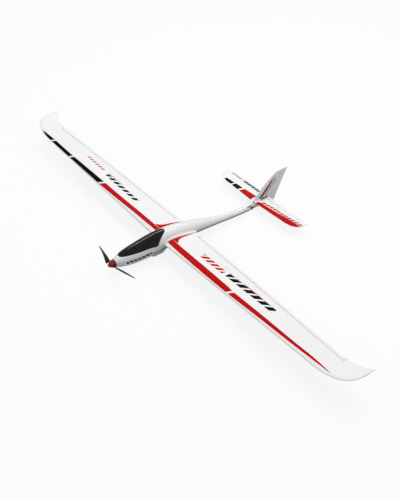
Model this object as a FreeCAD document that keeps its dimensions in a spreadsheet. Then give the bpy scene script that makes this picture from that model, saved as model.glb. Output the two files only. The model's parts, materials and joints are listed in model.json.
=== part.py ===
# Electric powered thermal sailplane: foam flying surfaces, moulded plastic pod-and-boom fuselage,
# folding propeller, ailerons, flaps, elevator and rudder with their servos and linkages.
# Millimetres. Nose towards -Y, port (left) wing towards +X, up is +Z.
# Everything is drawn about the wing root leading edge. On export it is moved so that the origin
# lies on the resting face of the belly skid, 7 mm ahead of that point and 76 mm below it.
import FreeCAD, Part
import math
import os
import Sketcher
from FreeCAD import Matrix, Placement, Rotation, Vector as V

doc = FreeCAD.newDocument("Sailplane")

# ---------------------------------------------------------------- driving dimensions
SIZES = [
    # wing
    ("half_span", 1200.0), ("wing_root_x", 50.4), ("tip_break_x", 1060.0),
    ("dihedral_slope", 0.0415), ("wing_le_z", 5.0), ("washin_slope", 0.07), ("tip_rise", 24.0),
    ("wing_thick", 0.135), ("wing_camber", 0.025), ("te_thick", 1.1),
    # flaps and ailerons; bevels in degrees
    ("flap_in_x", 88.0), ("flap_out_x", 500.0), ("ail_out_x", 1076.0),
    ("hinge_in_y", 163.5), ("hinge_mid_y", 146.5), ("hinge_out_y", 112.5),
    ("hinge_gap", 0.5), ("hinge_depth", 0.8), ("end_gap", 0.6),
    ("ail_bevel", 24.0), ("flap_bevel", 44.0),
    # fuselage and wing fixing
    ("shell_wall", 1.6), ("canopy_wall", 1.8), ("canopy_gap", 0.35),
    ("stub_x", 48.0), ("rib_thick", 2.0),
    ("joiner_dia", 10.0), ("joiner_bore", 7.0), ("joiner_len", 380.0),
    ("joiner_y", 62.0), ("joiner_z", 7.5),
    ("wing_screw_y", 128.0), ("wing_screw_z", -3.0),
    ("wing_screw_dia", 4.0), ("wing_screw_head", 7.0),
    # tail
    ("stab_span", 606.0), ("stab_z", -34.0), ("stab_hinge_y", 650.0),
    ("elev_half", 262.0), ("elev_notch", 13.0), ("bridge_dia", 4.4),
    ("rud_bot_y", 676.0), ("rud_bot_z", -80.0), ("rud_top_y", 752.0), ("rud_top_z", 89.0),
    ("rud_gap_fwd", 1.4), ("rud_gap_aft", 1.2),
    ("stab_screw_dia", 2.5), ("stab_screw_head", 5.0),
    # propeller
    ("prop_z", -11.0), ("prop_pin_x", 13.5), ("prop_pin_y", -252.5),
    ("blade_sweep", 9.0), ("pin_dia", 2.5), ("boss_w", 5.6), ("fork_gap", 6.0),
    ("spinner_dia", 38.0), ("spinner_len", 30.0), ("spinner_wall", 1.2),
    ("yoke_disc", 2.6), ("hub_dia", 12.0),
    # motor
    ("shaft_dia", 4.0), ("motor_dia", 28.0), ("motor_can", 24.0),
    ("motor_base_dia", 24.0), ("motor_base_len", 5.0),
    ("mount_dia", 35.0), ("mount_thick", 3.0), ("mount_pcd", 17.0),
    ("mount_screw", 3.0), ("mount_bore", 9.0),
    # servos and linkages
    ("servo_len", 23.0), ("servo_wide", 11.5), ("servo_tall", 22.0), ("servo_end", 6.0),
    ("servo_drop", 2.6), ("ear_len", 32.0), ("ear_thick", 1.6), ("ear_drop", 4.0),
    ("boss_r", 2.6), ("boss_h", 2.3),
    ("arm_r", 16.0), ("arm_wide", 4.4), ("arm_thick", 1.6), ("arm_hub_r", 3.3),
    ("link_hole", 1.9), ("wire_dia", 1.5), ("elev_arm_r", 12.0), ("rud_arm_r", 14.0),
    # equipment
    ("tray_len", 372.0), ("tray_wide", 32.0), ("tray_thick", 2.0),
    ("tray_z", -38.0), ("tray_y", -188.0),
    ("batt_len", 105.0), ("batt_wide", 34.0), ("batt_tall", 25.0), ("batt_fillet", 2.5),
    ("strap_wide", 20.0), ("strap_thick", 1.2),
    ("esc_len", 48.0), ("esc_wide", 24.0), ("esc_tall", 9.0),
    ("rx_len", 46.0), ("rx_wide", 22.0), ("rx_tall", 13.0),
    ("magnet_dia", 5.0), ("magnet_thick", 2.6),
    # skid and tail wheel
    ("skid_half", 11.0), ("skid_low", -76.0), ("skid_round", 4.0),
    ("wheel_dia", 18.0), ("wheel_wide", 6.0), ("wheel_y", 572.0), ("wheel_z", -71.5),
    ("axle_dia", 1.6), ("axle_len", 11.0),
]


class Dimensions:
    """The sheet's values as attributes."""


sheet = doc.addObject("Spreadsheet::Sheet", "Sizes")
for row, (name, value) in enumerate(SIZES, start=1):
    sheet.set("A%d" % row, name)
    sheet.set("B%d" % row, repr(float(value)))
    sheet.setAlias("B%d" % row, name)
doc.recompute()
dim = Dimensions()
for name, _ in SIZES:
    setattr(dim, name, float(sheet.get(name)))

X_AXIS, Y_AXIS, Z_AXIS = V(1, 0, 0), V(0, 1, 0), V(0, 0, 1)
SIDES = ((1, "left"), (-1, "right"))    # sign of x, name

JOINER_HOLE_R = dim.joiner_dia / 2 + 0.1
SLOT_FIT = 0.15                         # clearance round a control horn in its slot
STAB_SCREW_Y = (606.0, 634.0)
ELEV_HORN_X = 17.0
MAGNET_Y = -62.0
MAGNET_FIT = 0.1                        # between a magnet and its seat
FUSE_MAGNET_Z, CANOPY_MAGNET_Z = 7.1, 11.9      # undersides of the magnets
TRAY_TOP = dim.tray_z + dim.tray_thick + 0.1    # where equipment rests

# ---------------------------------------------------------------- document helpers
parts = []      # (label, object) in the order they are written


def keep(label, obj):
    """Label an object and list it as a finished piece."""
    obj.Label = label
    parts.append((label, obj))


def bind(obj, **props):
    """Set properties to sheet expressions or plain numbers."""
    for prop, val in props.items():
        if isinstance(val, str):
            obj.setExpression(prop, val)
        else:
            setattr(obj, prop, val)


def box(x, y, z, x_size, y_size, z_size):
    """Document box from its low corner."""
    obj = doc.addObject("Part::Box", "Box")
    bind(obj, Length=x_size, Width=y_size, Height=z_size)
    obj.Placement = Placement(V(x, y, z), Rotation())
    return obj


def cylinder(start, axis, radius, length):
    """Document cylinder from the centre of its first end."""
    obj = doc.addObject("Part::Cylinder", "Cylinder")
    bind(obj, Radius=radius, Height=length)
    obj.Placement = Placement(V(*start), Rotation(Z_AXIS, axis))
    return obj


def fuse(*objs):
    obj = doc.addObject("Part::MultiFuse", "Fuse")
    obj.Shapes = list(objs)
    return obj


def cut(base, *tools):
    obj = doc.addObject("Part::Cut", "Cut")
    obj.Base = base
    obj.Tool = tools[0] if len(tools) == 1 else fuse(*tools)
    return obj


def group(*objs):
    obj = doc.addObject("Part::Compound", "Group")
    obj.Links = list(objs)
    return obj


def feature(shape, placement=None):
    """Document object holding a ready shape."""
    obj = doc.addObject("Part::Feature", "Form")
    obj.Shape = shape
    if placement is not None:
        obj.Placement = placement
    return obj


# ---------------------------------------------------------------- shape helpers
def frame(origin, u, v):
    """Placement whose local axes are u, v (squared to u) and u x v."""
    u = V(u).normalize()
    v = V(v) - u * V(v).dot(u)
    v.normalize()
    w = u.cross(v)
    return Placement(Matrix(u.x, v.x, w.x, origin.x,
                            u.y, v.y, w.y, origin.y,
                            u.z, v.z, w.z, origin.z,
                            0, 0, 0, 1))


def block(x0, x1, y0, y1, z0, z1, side=1):
    """Box shape between limits, mirrored in x when side is -1."""
    return Part.makeBox(x1 - x0, y1 - y0, z1 - z0, V(min(side * x0, side * x1), y0, z0))


def rod(start, axis, radius, length):
    """Cylinder shape from the centre of its first end."""
    return Part.makeCylinder(radius, length, V(*start), axis)


def prism(place, corners, x0, x1):
    """Polygon in the local (y, z) plane of a placement, run along its x from x0 to x1."""
    points = [V(x0, y, z) for y, z in corners]
    shape = Part.Face(Part.makePolygon(points + [points[0]])).extrude(V(x1 - x0, 0, 0))
    shape.Placement = place
    return shape


def solid_of(shape):
    """The only, or the largest, solid of a shape."""
    solids = shape.Solids
    assert solids, "no solid"
    return solids[0] if len(solids) == 1 else max(solids, key=lambda solid: solid.Volume)


def spline(points, closed=False):
    curve = Part.BSplineCurve()
    curve.interpolate(Points=points, PeriodicFlag=closed)
    return curve


def loft(wires):
    return solid_of(Part.makeLoft(wires, True, False, False))


# ---------------------------------------------------------------- PartDesign helpers
def new_body(stem):
    return doc.addObject("PartDesign::Body", stem)


def origin_part(body, role):
    """A plane or axis of a body's origin."""
    return [f for f in body.Origin.OriginFeatures if f.Role == role][0]


def new_sketch(body, plane="XY_Plane"):
    sketch = body.newObject("Sketcher::SketchObject", "Sketch")
    sketch.AttachmentSupport = (origin_part(body, plane), [""])
    sketch.MapMode = "FlatFace"
    return sketch


def constrain(sketch, name, expr, *args):
    """Add a constraint, named and bound when an expression is given."""
    index = sketch.addConstraint(Sketcher.Constraint(*args))
    if expr:
        sketch.renameConstraint(index, name)
        sketch.setExpression("Constraints." + name, expr)


def rect(sketch, cx, cy, width, height, width_expr=None, height_expr=None):
    """Rectangle centred on (cx, cy)."""
    n = sketch.GeometryCount
    left, right, low, high = cx - width / 2, cx + width / 2, cy - height / 2, cy + height / 2
    p = [V(left, low, 0), V(right, low, 0), V(right, high, 0), V(left, high, 0)]
    sketch.addGeometry([Part.LineSegment(p[i], p[(i + 1) % 4]) for i in range(4)], False)
    for i in range(4):
        sketch.addConstraint(Sketcher.Constraint("Coincident", n + i, 2, n + (i + 1) % 4, 1))
    for i, kind in enumerate(("Horizontal", "Vertical", "Horizontal", "Vertical")):
        sketch.addConstraint(Sketcher.Constraint(kind, n + i))
    constrain(sketch, "width%d" % n, width_expr, "DistanceX", n, 1, n, 2, width)
    constrain(sketch, "height%d" % n, height_expr, "DistanceY", n + 1, 1, n + 1, 2, height)
    if abs(cx) < 1e-9 and abs(cy) < 1e-9:
        sketch.addConstraint(Sketcher.Constraint("Symmetric", n, 1, n + 2, 1, -1, 1))
    else:
        sketch.addConstraint(Sketcher.Constraint("DistanceX", -1, 1, n, 1, left))
        sketch.addConstraint(Sketcher.Constraint("DistanceY", -1, 1, n, 1, low))


def ring(sketch, cx, cy, diameter, diameter_expr, cy_expr=None):
    """Circle whose diameter is bound to the sheet."""
    n = sketch.GeometryCount
    sketch.addGeometry(Part.Circle(V(cx, cy, 0), Z_AXIS, diameter / 2), False)
    constrain(sketch, "diameter%d" % n, diameter_expr, "Diameter", n, diameter)
    if abs(cx) < 1e-9 and abs(cy) < 1e-9:
        sketch.addConstraint(Sketcher.Constraint("Coincident", n, 3, -1, 1))
    else:
        sketch.addConstraint(Sketcher.Constraint("DistanceX", -1, 1, n, 3, cx))
        constrain(sketch, "reach%d" % n, cy_expr, "DistanceY", -1, 1, n, 3, cy)


def outline(sketch, points):
    """Closed polygon, every corner fixed by two distances."""
    n = sketch.GeometryCount
    count = len(points)
    sketch.addGeometry([Part.LineSegment(V(*points[i], 0), V(*points[(i + 1) % count], 0))
                        for i in range(count)], False)
    for i, (x, y) in enumerate(points):
        sketch.addConstraint(Sketcher.Constraint("Coincident", n + i, 2, n + (i + 1) % count, 1))
        sketch.addConstraint(Sketcher.Constraint("DistanceX", -1, 1, n + i, 1, x))
        sketch.addConstraint(Sketcher.Constraint("DistanceY", -1, 1, n + i, 1, y))


def finish(body, step):
    body.Tip = step
    doc.recompute()


def pad(body, sketch, length, mid=False, reverse=False):
    step = body.newObject("PartDesign::Pad", "Pad")
    step.Profile = sketch
    bind(step, Length=length)
    if mid:
        step.Midplane = True
    step.Reversed = reverse
    finish(body, step)


def pocket(body, sketch, depth=None):
    """Pocket both ways from the sketch, through everything unless a depth is given."""
    before = body.Shape.Volume
    step = body.newObject("PartDesign::Pocket", "Pocket")
    step.Profile = sketch
    if depth is None:
        step.Type = 1
    else:
        step.Length = depth
    step.Midplane = True
    finish(body, step)
    assert body.Shape.Volume < before - 1e-6, "pocket cut nothing in " + body.Name
    return step


def turn(body, sketch):
    """Full revolution about the sketch's vertical axis."""
    step = body.newObject("PartDesign::Revolution", "Turn")
    step.Profile = sketch
    step.ReferenceAxis = (sketch, ["V_Axis"])
    step.Angle = 360
    finish(body, step)


def edge_names(body):
    return ["Edge%d" % (i + 1) for i in range(len(body.Shape.Edges))]


def dress(body, kind, edges, size):
    """Fillet or chamfer the named edges of the body's last feature."""
    last = body.Tip
    step = body.newObject("PartDesign::" + kind, kind)
    step.Base = (last, edges)
    bind(step, **{"Radius" if kind == "Fillet" else "Size": size})
    finish(body, step)


# ---------------------------------------------------------------- section curves
def aerofoil(x, thick, camber):
    """Upper and lower ordinates of a four-digit section at x, as shares of the chord."""
    half = 5 * thick * (0.2969 * math.sqrt(max(x, 0)) - 0.1260 * x - 0.3516 * x ** 2
                        + 0.2843 * x ** 3 - 0.1036 * x ** 4)
    peak = 0.4      # place of greatest camber
    if x < peak:
        mean = camber / peak ** 2 * (2 * peak * x - x ** 2)
    else:
        mean = camber / (1 - peak) ** 2 * (1 - 2 * peak + 2 * peak * x - x ** 2)
    return mean + half, mean - half


def section_wire(place, chord, thick, camber, te, count=15):
    """Aerofoil as one spline plus a blunt trailing edge te thick.

    place maps (distance aft of the leading edge, height) to a point.
    """
    xs = [0.5 * (1 - math.cos(math.pi * i / (count - 1))) for i in range(count)]
    upper = [(x, aerofoil(x, thick, camber)[0] + te / chord / 2 * x) for x in xs]
    lower = [(x, aerofoil(x, thick, camber)[1] - te / chord / 2 * x) for x in xs]
    points = [place(x * chord, z * chord) for x, z in upper[::-1] + lower[1:]]
    return Part.Wire([spline(points).toShape(), Part.makeLine(points[-1], points[0])])


def blend(table, x):
    """Smooth (monotone cubic) interpolation in a table of (x, value)."""
    xs = [entry[0] for entry in table]
    ys = [entry[1] for entry in table]
    if x <= xs[0]:
        return ys[0]
    if x >= xs[-1]:
        return ys[-1]
    k = max(i for i in range(len(xs) - 1) if xs[i] <= x)
    rise = [(ys[i + 1] - ys[i]) / (xs[i + 1] - xs[i]) for i in range(len(xs) - 1)]

    def slope(i):
        if i == 0:
            return rise[0]
        if i == len(xs) - 1:
            return rise[-1]
        if rise[i - 1] * rise[i] <= 0:
            return 0.0
        return 2 * rise[i - 1] * rise[i] / (rise[i - 1] + rise[i])

    step = xs[k + 1] - xs[k]
    t = (x - xs[k]) / step
    return (ys[k] * (1 + 2 * t) * (1 - t) ** 2 + slope(k) * step * t * (1 - t) ** 2
            + ys[k + 1] * t * t * (3 - 2 * t) + slope(k + 1) * step * t * t * (t - 1))


# ---------------------------------------------------------------- fuselage pod and boom
# station y, centre z, half width, half height
POD = [
    (-243.0, -11.0, 19.5, 19.5), (-228.0, -10.5, 25.0, 26.5), (-205.0, -9.5, 31.0, 34.0),
    (-170.0, -9.0, 36.0, 42.0), (-125.0, -7.5, 40.0, 47.5), (-75.0, -5.0, 42.5, 51.5),
    (-20.0, -1.5, 43.5, 53.5), (45.0, -1.0, 42.5, 51.0), (110.0, -4.0, 39.5, 45.5),
    (170.0, -9.5, 35.5, 38.5), (228.0, -18.5, 30.0, 31.5), (290.0, -30.5, 24.0, 25.0),
    (345.0, -40.0, 19.8, 20.3), (400.0, -48.0, 17.0, 17.4), (470.0, -55.5, 15.3, 15.6),
    (560.0, -56.0, 14.6, 16.8), (620.0, -55.0, 10.8, 18.2), (660.0, -55.5, 7.4, 19.5),
    (702.0, -56.5, 4.2, 20.5)]


def pod_loft(grow, y_from=POD[0][0], y_to=POD[-1][0]):
    """Pod and boom grown by grow, from a table station to any y."""
    rows = [r for r in POD if y_from <= r[0] <= y_to]
    if rows[-1][0] < y_to:
        rows.append((y_to,) + tuple(blend([(r[0], r[k]) for r in POD], y_to) for k in (1, 2, 3)))
    power = 2 / 2.15        # slightly squared ellipse
    wires = []
    for y, centre_z, half_wide, half_tall in rows:
        points = []
        for i in range(20):
            angle = 2 * math.pi * i / 20
            across, up = math.cos(angle), math.sin(angle)
            points.append(V(
                (half_wide + grow) * math.copysign(abs(across) ** power, across), y,
                centre_z + (half_tall + grow) * math.copysign(abs(up) ** power, up)))
        wires.append(Part.Wire([spline(points, True).toShape()]))
    return loft(wires)


# ---------------------------------------------------------------- wing planform
# x, leading edge y
WING_LE = [
    (0, 0), (1000, 0), (dim.tip_break_x, 2), (1100, 7), (1140, 17), (1168, 33), (1186, 55),
    (1196, 84), (dim.half_span, 128)]
# x, trailing edge y: straight between the first three, curved beyond
WING_TE = [
    (dim.flap_in_x, 182.5), (dim.flap_out_x, 163.5), (dim.ail_out_x, 133), (1100, 132.5),
    (1140, 138), (1168, 147), (1186, 154), (1196, 158.5), (dim.half_span, 160.5)]
WING_STATIONS = [
    dim.wing_root_x, dim.flap_in_x, 200, 350, dim.flap_out_x, 640, 780, 920, 1000,
    dim.tip_break_x, 1100, 1140, 1168, 1186, 1196, dim.half_span]


def wing_te(x):
    (x0, y0), (x1, y1), (x2, y2) = WING_TE[:3]
    if x > x2:
        return blend(WING_TE, x)
    if x <= x1:
        return y0 + (x - x0) * (y1 - y0) / (x1 - x0)
    return y1 + (x - x1) * (y2 - y1) / (x2 - x1)


def wing_z(x):
    """Height of the leading edge: dihedral, and a tip that curves up."""
    beyond = max(0.0, x - dim.tip_break_x) / (dim.half_span - dim.tip_break_x)
    return dim.wing_le_z + dim.dihedral_slope * (x - 60) + dim.tip_rise * beyond ** 1.5


def wing_ratio(x):
    """Thickness over chord, thinning by a quarter over the last 300 mm."""
    return dim.wing_thick * (1 - 0.25 * max(0, (x - 900) / 300))


def wing_section(x, side, inset=0.0):
    le = blend(WING_LE, x) + inset
    chord = wing_te(x) - inset - le
    z0 = wing_z(x) - dim.washin_slope * inset

    def place(along, up):
        return V(side * x, le + along, z0 - dim.washin_slope * along + up)

    return section_wire(place, chord, wing_ratio(x) - 2 * inset / chord,
                        dim.wing_camber, dim.te_thick)


def wing_top(x, y):
    """Height of the upper skin."""
    le = blend(WING_LE, x)
    chord = wing_te(x) - le
    upper = aerofoil((y - le) / chord, wing_ratio(x), dim.wing_camber)[0]
    return wing_z(x) - dim.washin_slope * (y - le) + chord * upper


# ---------------------------------------------------------------- flap and aileron hinges
# inboard and outboard ends of each hinge line (x, y)
HINGES = {
    "flap": ((dim.flap_in_x, dim.hinge_in_y), (dim.flap_out_x, dim.hinge_mid_y)),
    "aileron": ((dim.flap_out_x, dim.hinge_mid_y), (dim.ail_out_x, dim.hinge_out_y))}
BEVELS = {"flap": dim.flap_bevel, "aileron": dim.ail_bevel}
# linkage distance along the hinge from its inboard end, servo distance ahead of the hinge
LINKS = {"flap": (150.0, 62.0), "aileron": (235.0, 56.0)}


def hinge_line(which, side):
    """Inboard end, outboard end and direction towards +X, just under the upper skin."""
    inboard, outboard = [V(side * x, y, wing_top(x, y) - dim.hinge_depth)
                         for x, y in HINGES[which]]
    return inboard, outboard, (outboard - inboard) * side


def link_frames(which, side):
    """Horn and servo placements of a linkage; local x runs along the hinge towards +X."""
    inboard, outboard, along = hinge_line(which, side)
    distance, ahead = LINKS[which]
    point = inboard + V(outboard - inboard).normalize() * distance
    horn_place = frame(point, along, Y_AXIS)
    servo_point = point - horn_place.Rotation.multVec(V(0, ahead, 0))
    return horn_place, frame(servo_point, along, Y_AXIS)


def wing_horn_outline(which):
    front, top = (3.4, -3.6) if which == "aileron" else (6.0, -4.6)
    return [(front, top), (front + 8.5, top + 0.2), (front + 8.5, -8.0), (2.3, -18.0),
            (-2.3, -18.0), (-2.3, -15.2), (front - 0.4, -7.0)]


def moving_surface(wing, which, side):
    """The room to cut from the wing, and the flap or aileron that fills it."""
    inboard, outboard, along = hinge_line(which, side)
    place = frame(inboard, along, Y_AXIS)
    length = (outboard - inboard).Length
    x0, x1 = (0, length) if side > 0 else (-length, 0)
    gap, top, low, aft = dim.hinge_gap, 15, -25, 70
    bevel_aft = gap - low * math.tan(math.radians(BEVELS[which]))
    room = prism(place, [(-gap, top), (-gap, low), (aft, low), (aft, top)], x0, x1)
    profile = [(gap, top), (gap, 0), (bevel_aft, low), (aft, low), (aft, top)]
    surface = prism(place, profile, x0 + dim.end_gap, x1 - dim.end_gap)
    return room, wing.common(surface)


def horn_slot(which, side):
    """Slot for the horn, widened along and above it."""
    corners = [(y - (SLOT_FIT if y < 8 else -SLOT_FIT), z + (SLOT_FIT if z > -6 else 0))
               for y, z in wing_horn_outline(which)]
    near, far = -SLOT_FIT, dim.arm_thick + SLOT_FIT
    x0, x1 = (near, far) if side > 0 else (-far, -near)
    return prism(link_frames(which, side)[0], corners, x0, x1)


def servo_room(which, side):
    """Room for a servo lying on its side, its ears and the swing of its arm."""
    fit, low, high = 0.3, -30, dim.servo_wide / 2 + 0.3
    face, aft = -dim.servo_drop, dim.servo_end
    fore = aft - dim.servo_len
    ear = (dim.ear_len - dim.servo_len) / 2
    ear_face = face - dim.ear_drop
    room = block(face - dim.servo_tall - fit, face + fit, fore - fit, aft + fit, low, high, side)
    room = room.fuse(block(ear_face - dim.ear_thick - fit, ear_face + fit,
                           fore - ear - fit, aft + ear + fit, low, high, side))
    room = room.fuse(block(face, 5.2, -13.5, 13.5, low, 4.6, side))
    room.Placement = link_frames(which, side)[1]
    return room


# ---------------------------------------------------------------- wing pieces
def make_wing(side, tag):
    """Wing panel with its flap and aileron."""
    wing = loft([wing_section(x, side) for x in WING_STATIONS])
    fixed = wing
    surfaces = {}
    for which in ("flap", "aileron"):
        room, surface = moving_surface(wing, which, side)
        fixed = fixed.cut(room)
        surfaces[which] = solid_of(surface.cut(horn_slot(which, side)))
        fixed = fixed.cut(servo_room(which, side))
    inner_x = dim.wing_root_x - 10
    axis = X_AXIS * side
    joiner_hole = rod((side * inner_x, dim.joiner_y, dim.joiner_z), axis,
                      JOINER_HOLE_R, dim.joiner_len / 2 + 2 - inner_x)
    boss_hole = rod((side * inner_x, dim.wing_screw_y, dim.wing_screw_z), axis, 5.2, 24)
    keep(tag + "_wing", feature(solid_of(fixed.cut(joiner_hole).cut(boss_hole))))
    for which in ("flap", "aileron"):
        keep(tag + "_" + which, feature(surfaces[which]))


def make_root_rib(side, tag):
    """Moulded plastic cap with a tapped boss for the wing screw."""
    axis = X_AXIS * side
    face = Part.Face(wing_section(dim.wing_root_x, side, 0.4))
    rib = face.extrude(V(-side * dim.rib_thick, 0, 0))
    rib.translate(V(-side * 0.1, 0, 0))
    rib = rib.fuse(rod((side * (dim.stub_x + 0.6), dim.wing_screw_y, dim.wing_screw_z),
                       axis, 5.0, 12))
    rib = rib.cut(rod((side * 20, dim.wing_screw_y, dim.wing_screw_z), axis,
                      dim.wing_screw_dia / 2 + 0.06, 60))
    rib = rib.cut(rod((side * 20, dim.joiner_y, dim.joiner_z), axis, JOINER_HOLE_R, 60))
    keep(tag + "_root_rib", feature(solid_of(rib)))


# ---------------------------------------------------------------- tailplane
STAB_HALF = dim.stab_span / 2
# x, leading edge y
STAB_LE = [(0, 579), (100, 583), (200, 587), (245, 591), (272, 601), (290, 619), (299, 639),
           (STAB_HALF, 655)]
# x, trailing edge y
STAB_TE = [(0, 670), (262, 669), (285, 670), (297, 670), (STAB_HALF, 667)]
# x, thickness
STAB_THICK = [(0, 8.6), (150, 7.8), (245, 6.6), (285, 4.6), (STAB_HALF, 2.2)]
STAB_STATIONS = (0, 60, 130, 200, 245, 266, 282, 292, 299, STAB_HALF)


def stab_loft(grow=0.0, half=STAB_HALF):
    """Whole tailplane section out to half, grown by grow."""
    xs = [x for x in STAB_STATIONS if x <= half]
    wires = []
    for x in [-x for x in reversed(xs) if x] + xs:
        le = blend(STAB_LE, abs(x)) - grow
        chord = blend(STAB_TE, abs(x)) + grow - le
        thick = blend(STAB_THICK, abs(x)) + 2 * grow
        wires.append(section_wire(lambda along, up: V(x, le + along, dim.stab_z + up),
                                  chord, thick / chord, 0.0, 1.0 + grow))
    return loft(wires)


def make_tailplane():
    """Stabilizer, and an elevator in two halves joined by a round bridge."""
    whole = stab_loft()
    hinge_y, hinge_z = dim.stab_hinge_y, dim.stab_z
    half, notch = dim.elev_half, dim.elev_notch
    low, high = hinge_z - 15, hinge_z + 15

    fixed = whole.cut(block(-half - 0.6, half + 0.6, hinge_y - 0.8, hinge_y + 59.2, low, high))
    fixed = fixed.cut(block(-18, 18, hinge_y - 3.6, hinge_y + 16.4, low, high))
    for y in STAB_SCREW_Y:
        fixed = fixed.cut(rod((0, y, hinge_z - 16), Z_AXIS, dim.stab_screw_dia / 2 + 0.06, 14.2))
    keep("stabilizer", feature(solid_of(fixed)))

    elevator = whole.common(block(-half, half, hinge_y + 0.8, hinge_y + 60.8, low, high))
    elevator = elevator.cut(block(-notch, notch, hinge_y - 10, hinge_y + 50, low, high))
    elevator = elevator.fuse(rod((-notch - 3, hinge_y, hinge_z), X_AXIS,
                                 dim.bridge_dia / 2, 2 * notch + 6))
    slot = block(ELEV_HORN_X - SLOT_FIT, ELEV_HORN_X + dim.arm_thick + SLOT_FIT,
                 hinge_y + 2.3, hinge_y + 11.7, hinge_z - SLOT_FIT, hinge_z - SLOT_FIT + 6)
    keep("elevator", feature(solid_of(elevator.cut(slot))))


# ---------------------------------------------------------------- fin and rudder
# z, leading edge y, trailing edge y, thickness
FIN = [
    (-80, 556, 719, 11.5), (-60, 559, 728, 11.6), (-45, 565, 735, 11.4), (-30, 577, 742, 11.0),
    (-8, 600, 752, 10.2), (14, 622, 762, 9.4), (40, 650, 774, 8.4), (60, 678, 784, 7.0),
    (76, 702, 791, 5.2), (85, 719, 796, 3.4), (89, 737, 798.5, 1.9)]
# Rudder frames: local x up the leaning hinge line, y aft and square to it, z to starboard.
RUDDER_FOOT = V(0, dim.rud_bot_y, dim.rud_bot_z)
RUDDER_UP = (V(0, dim.rud_top_y, dim.rud_top_z) - RUDDER_FOOT).normalize()
RUDDER_AFT = V(0, RUDDER_UP.z, -RUDDER_UP.y)
RUDDER_HORN_POINT = RUDDER_FOOT + RUDDER_UP * 22.0
RUDDER_HORN_FRAME = frame(RUDDER_HORN_POINT, RUDDER_UP, RUDDER_AFT)


def fin_loft():
    """Fin and rudder in one."""
    wires = []
    for z, le, te, thick in FIN:
        chord = te - le
        wires.append(section_wire(lambda along, up: V(up, le + along, z),
                                  chord, thick / chord, 0.0, 0.9))
    return loft(wires)


def beside_rudder_hinge(y0, y1):
    """Large block between two distances aft of the rudder hinge line."""
    shape = block(-900, 600, y0, y1, -100, 100)
    shape.Placement = frame(RUDDER_FOOT, RUDDER_UP, RUDDER_AFT)
    return shape


def make_rudder(whole_fin):
    rudder = whole_fin.common(beside_rudder_hinge(dim.rud_gap_aft, 200))
    slot = block(-SLOT_FIT, dim.arm_thick + SLOT_FIT, 2.6, 12.2, -0.6, 4.4)
    slot.Placement = RUDDER_HORN_FRAME
    keep("rudder", feature(solid_of(rudder.cut(slot))))


# ---------------------------------------------------------------- shell and canopy
# canopy seam seen from the side: y, z
SEAM = [
    (-224.5, 23.0), (-222.4, 19.4), (-219.0, 18.5), (-212.5, 18.2), (-204, 17.9), (-190, 17.5),
    (-175.5, 17.1), (-151.5, 16.1), (-127, 15.2), (-101, 15.0), (-80, 14.6), (-62, 12.8),
    (-45, 10.0), (-36, 8.9), (-30.5, 10.4), (-23, 20), (-13.5, 30.9), (0.5, 39.8), (13, 45.3),
    (26, 48.9), (33, 50.2), (36.5, 51.0), (40, 54)]


def lid_prism(gap):
    """Everything above the seam line, drawn in from it by gap."""
    line = spline([V(0, y, z) for y, z in SEAM])
    if gap:
        k0, k1 = line.FirstParameter, line.LastParameter
        points = []
        for i in range(49):
            k = k0 + (k1 - k0) * i / 48
            tangent = line.tangent(k)[0]
            points.append(line.value(k) + V(0, -tangent.z, tangent.y) * gap)
        line = spline(points)
    start, end = line.value(line.FirstParameter), line.value(line.LastParameter)
    start_top, end_top = V(0, start.y, 95), V(0, end.y, 95)
    face = Part.Face(Part.Wire([
        line.toShape(), Part.makeLine(end, end_top),
        Part.makeLine(end_top, start_top), Part.makeLine(start_top, start)]))
    face.translate(V(-70, 0, 0))
    return face.extrude(V(140, 0, 0))


def wing_stub(side):
    """Straight run of the root section out of the pod."""
    ends = []
    for x in (26.0, dim.stub_x):
        wire = wing_section(dim.wing_root_x, side)
        wire.translate(V(side * (x - dim.wing_root_x), 0, 0))
        ends.append(wire)
    return Part.makeLoft(ends, True, True, False)


def magnet_seat(pod, side, x0, x1, z0, z1):
    """Lug that carries a magnet, trimmed to the pod."""
    return block(x0, x1, MAGNET_Y - 4.5, MAGNET_Y + 4.5, z0, z1, side).common(pod)


def shell_cutters():
    """Openings of the shell, in cutting order."""
    hinge_y, hinge_z = dim.stab_hinge_y, dim.stab_z
    wheel_y = dim.wheel_y
    screw_y, screw_z = dim.wing_screw_y, dim.wing_screw_z
    cutters = [
        # wing joiner, wing screws and the wells of their heads
        rod((-65, dim.joiner_y, dim.joiner_z), X_AXIS, JOINER_HOLE_R, 130),
        rod((-65, screw_y, screw_z), X_AXIS, dim.wing_screw_dia / 2 + 0.2, 130),
        rod((-37.0, screw_y, screw_z), X_AXIS, dim.wing_screw_head / 2 + 0.4, 74.0),
        # tailplane saddle and elevator bridge
        stab_loft(0.2, 60),
        rod((-30, hinge_y, hinge_z), X_AXIS, dim.bridge_dia / 2 + 0.6, 60),
        block(-20, 20, hinge_y, hinge_y + 24, hinge_z - 2.8, hinge_z + 2.8)]
    for y in STAB_SCREW_Y:
        cutters.append(rod((0, y, -90), Z_AXIS, dim.stab_screw_dia / 2 + 0.2, 60))
        cutters.append(rod((0, y, -90), Z_AXIS, dim.stab_screw_head / 2 + 0.3, 42))
    cutters += [
        # wheel well and axle
        block(-4.0, 4.0, wheel_y - 10.5, wheel_y + 10.5, -92, -60.6),
        rod((-15, wheel_y, dim.wheel_z), X_AXIS, dim.axle_dia / 2 + 0.05, 30),
        # elevator and rudder pushrod exits
        block(7.4, 12.0, 533, 559, -49.5, -36.0),
        block(-17, -8, 584, 642, -61.7, -52.1)]
    # motor cooling slots under the nose
    return cutters + [block(6, 10, -226, -210, -60, -30, side) for side in (-1, 1)]


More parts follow.
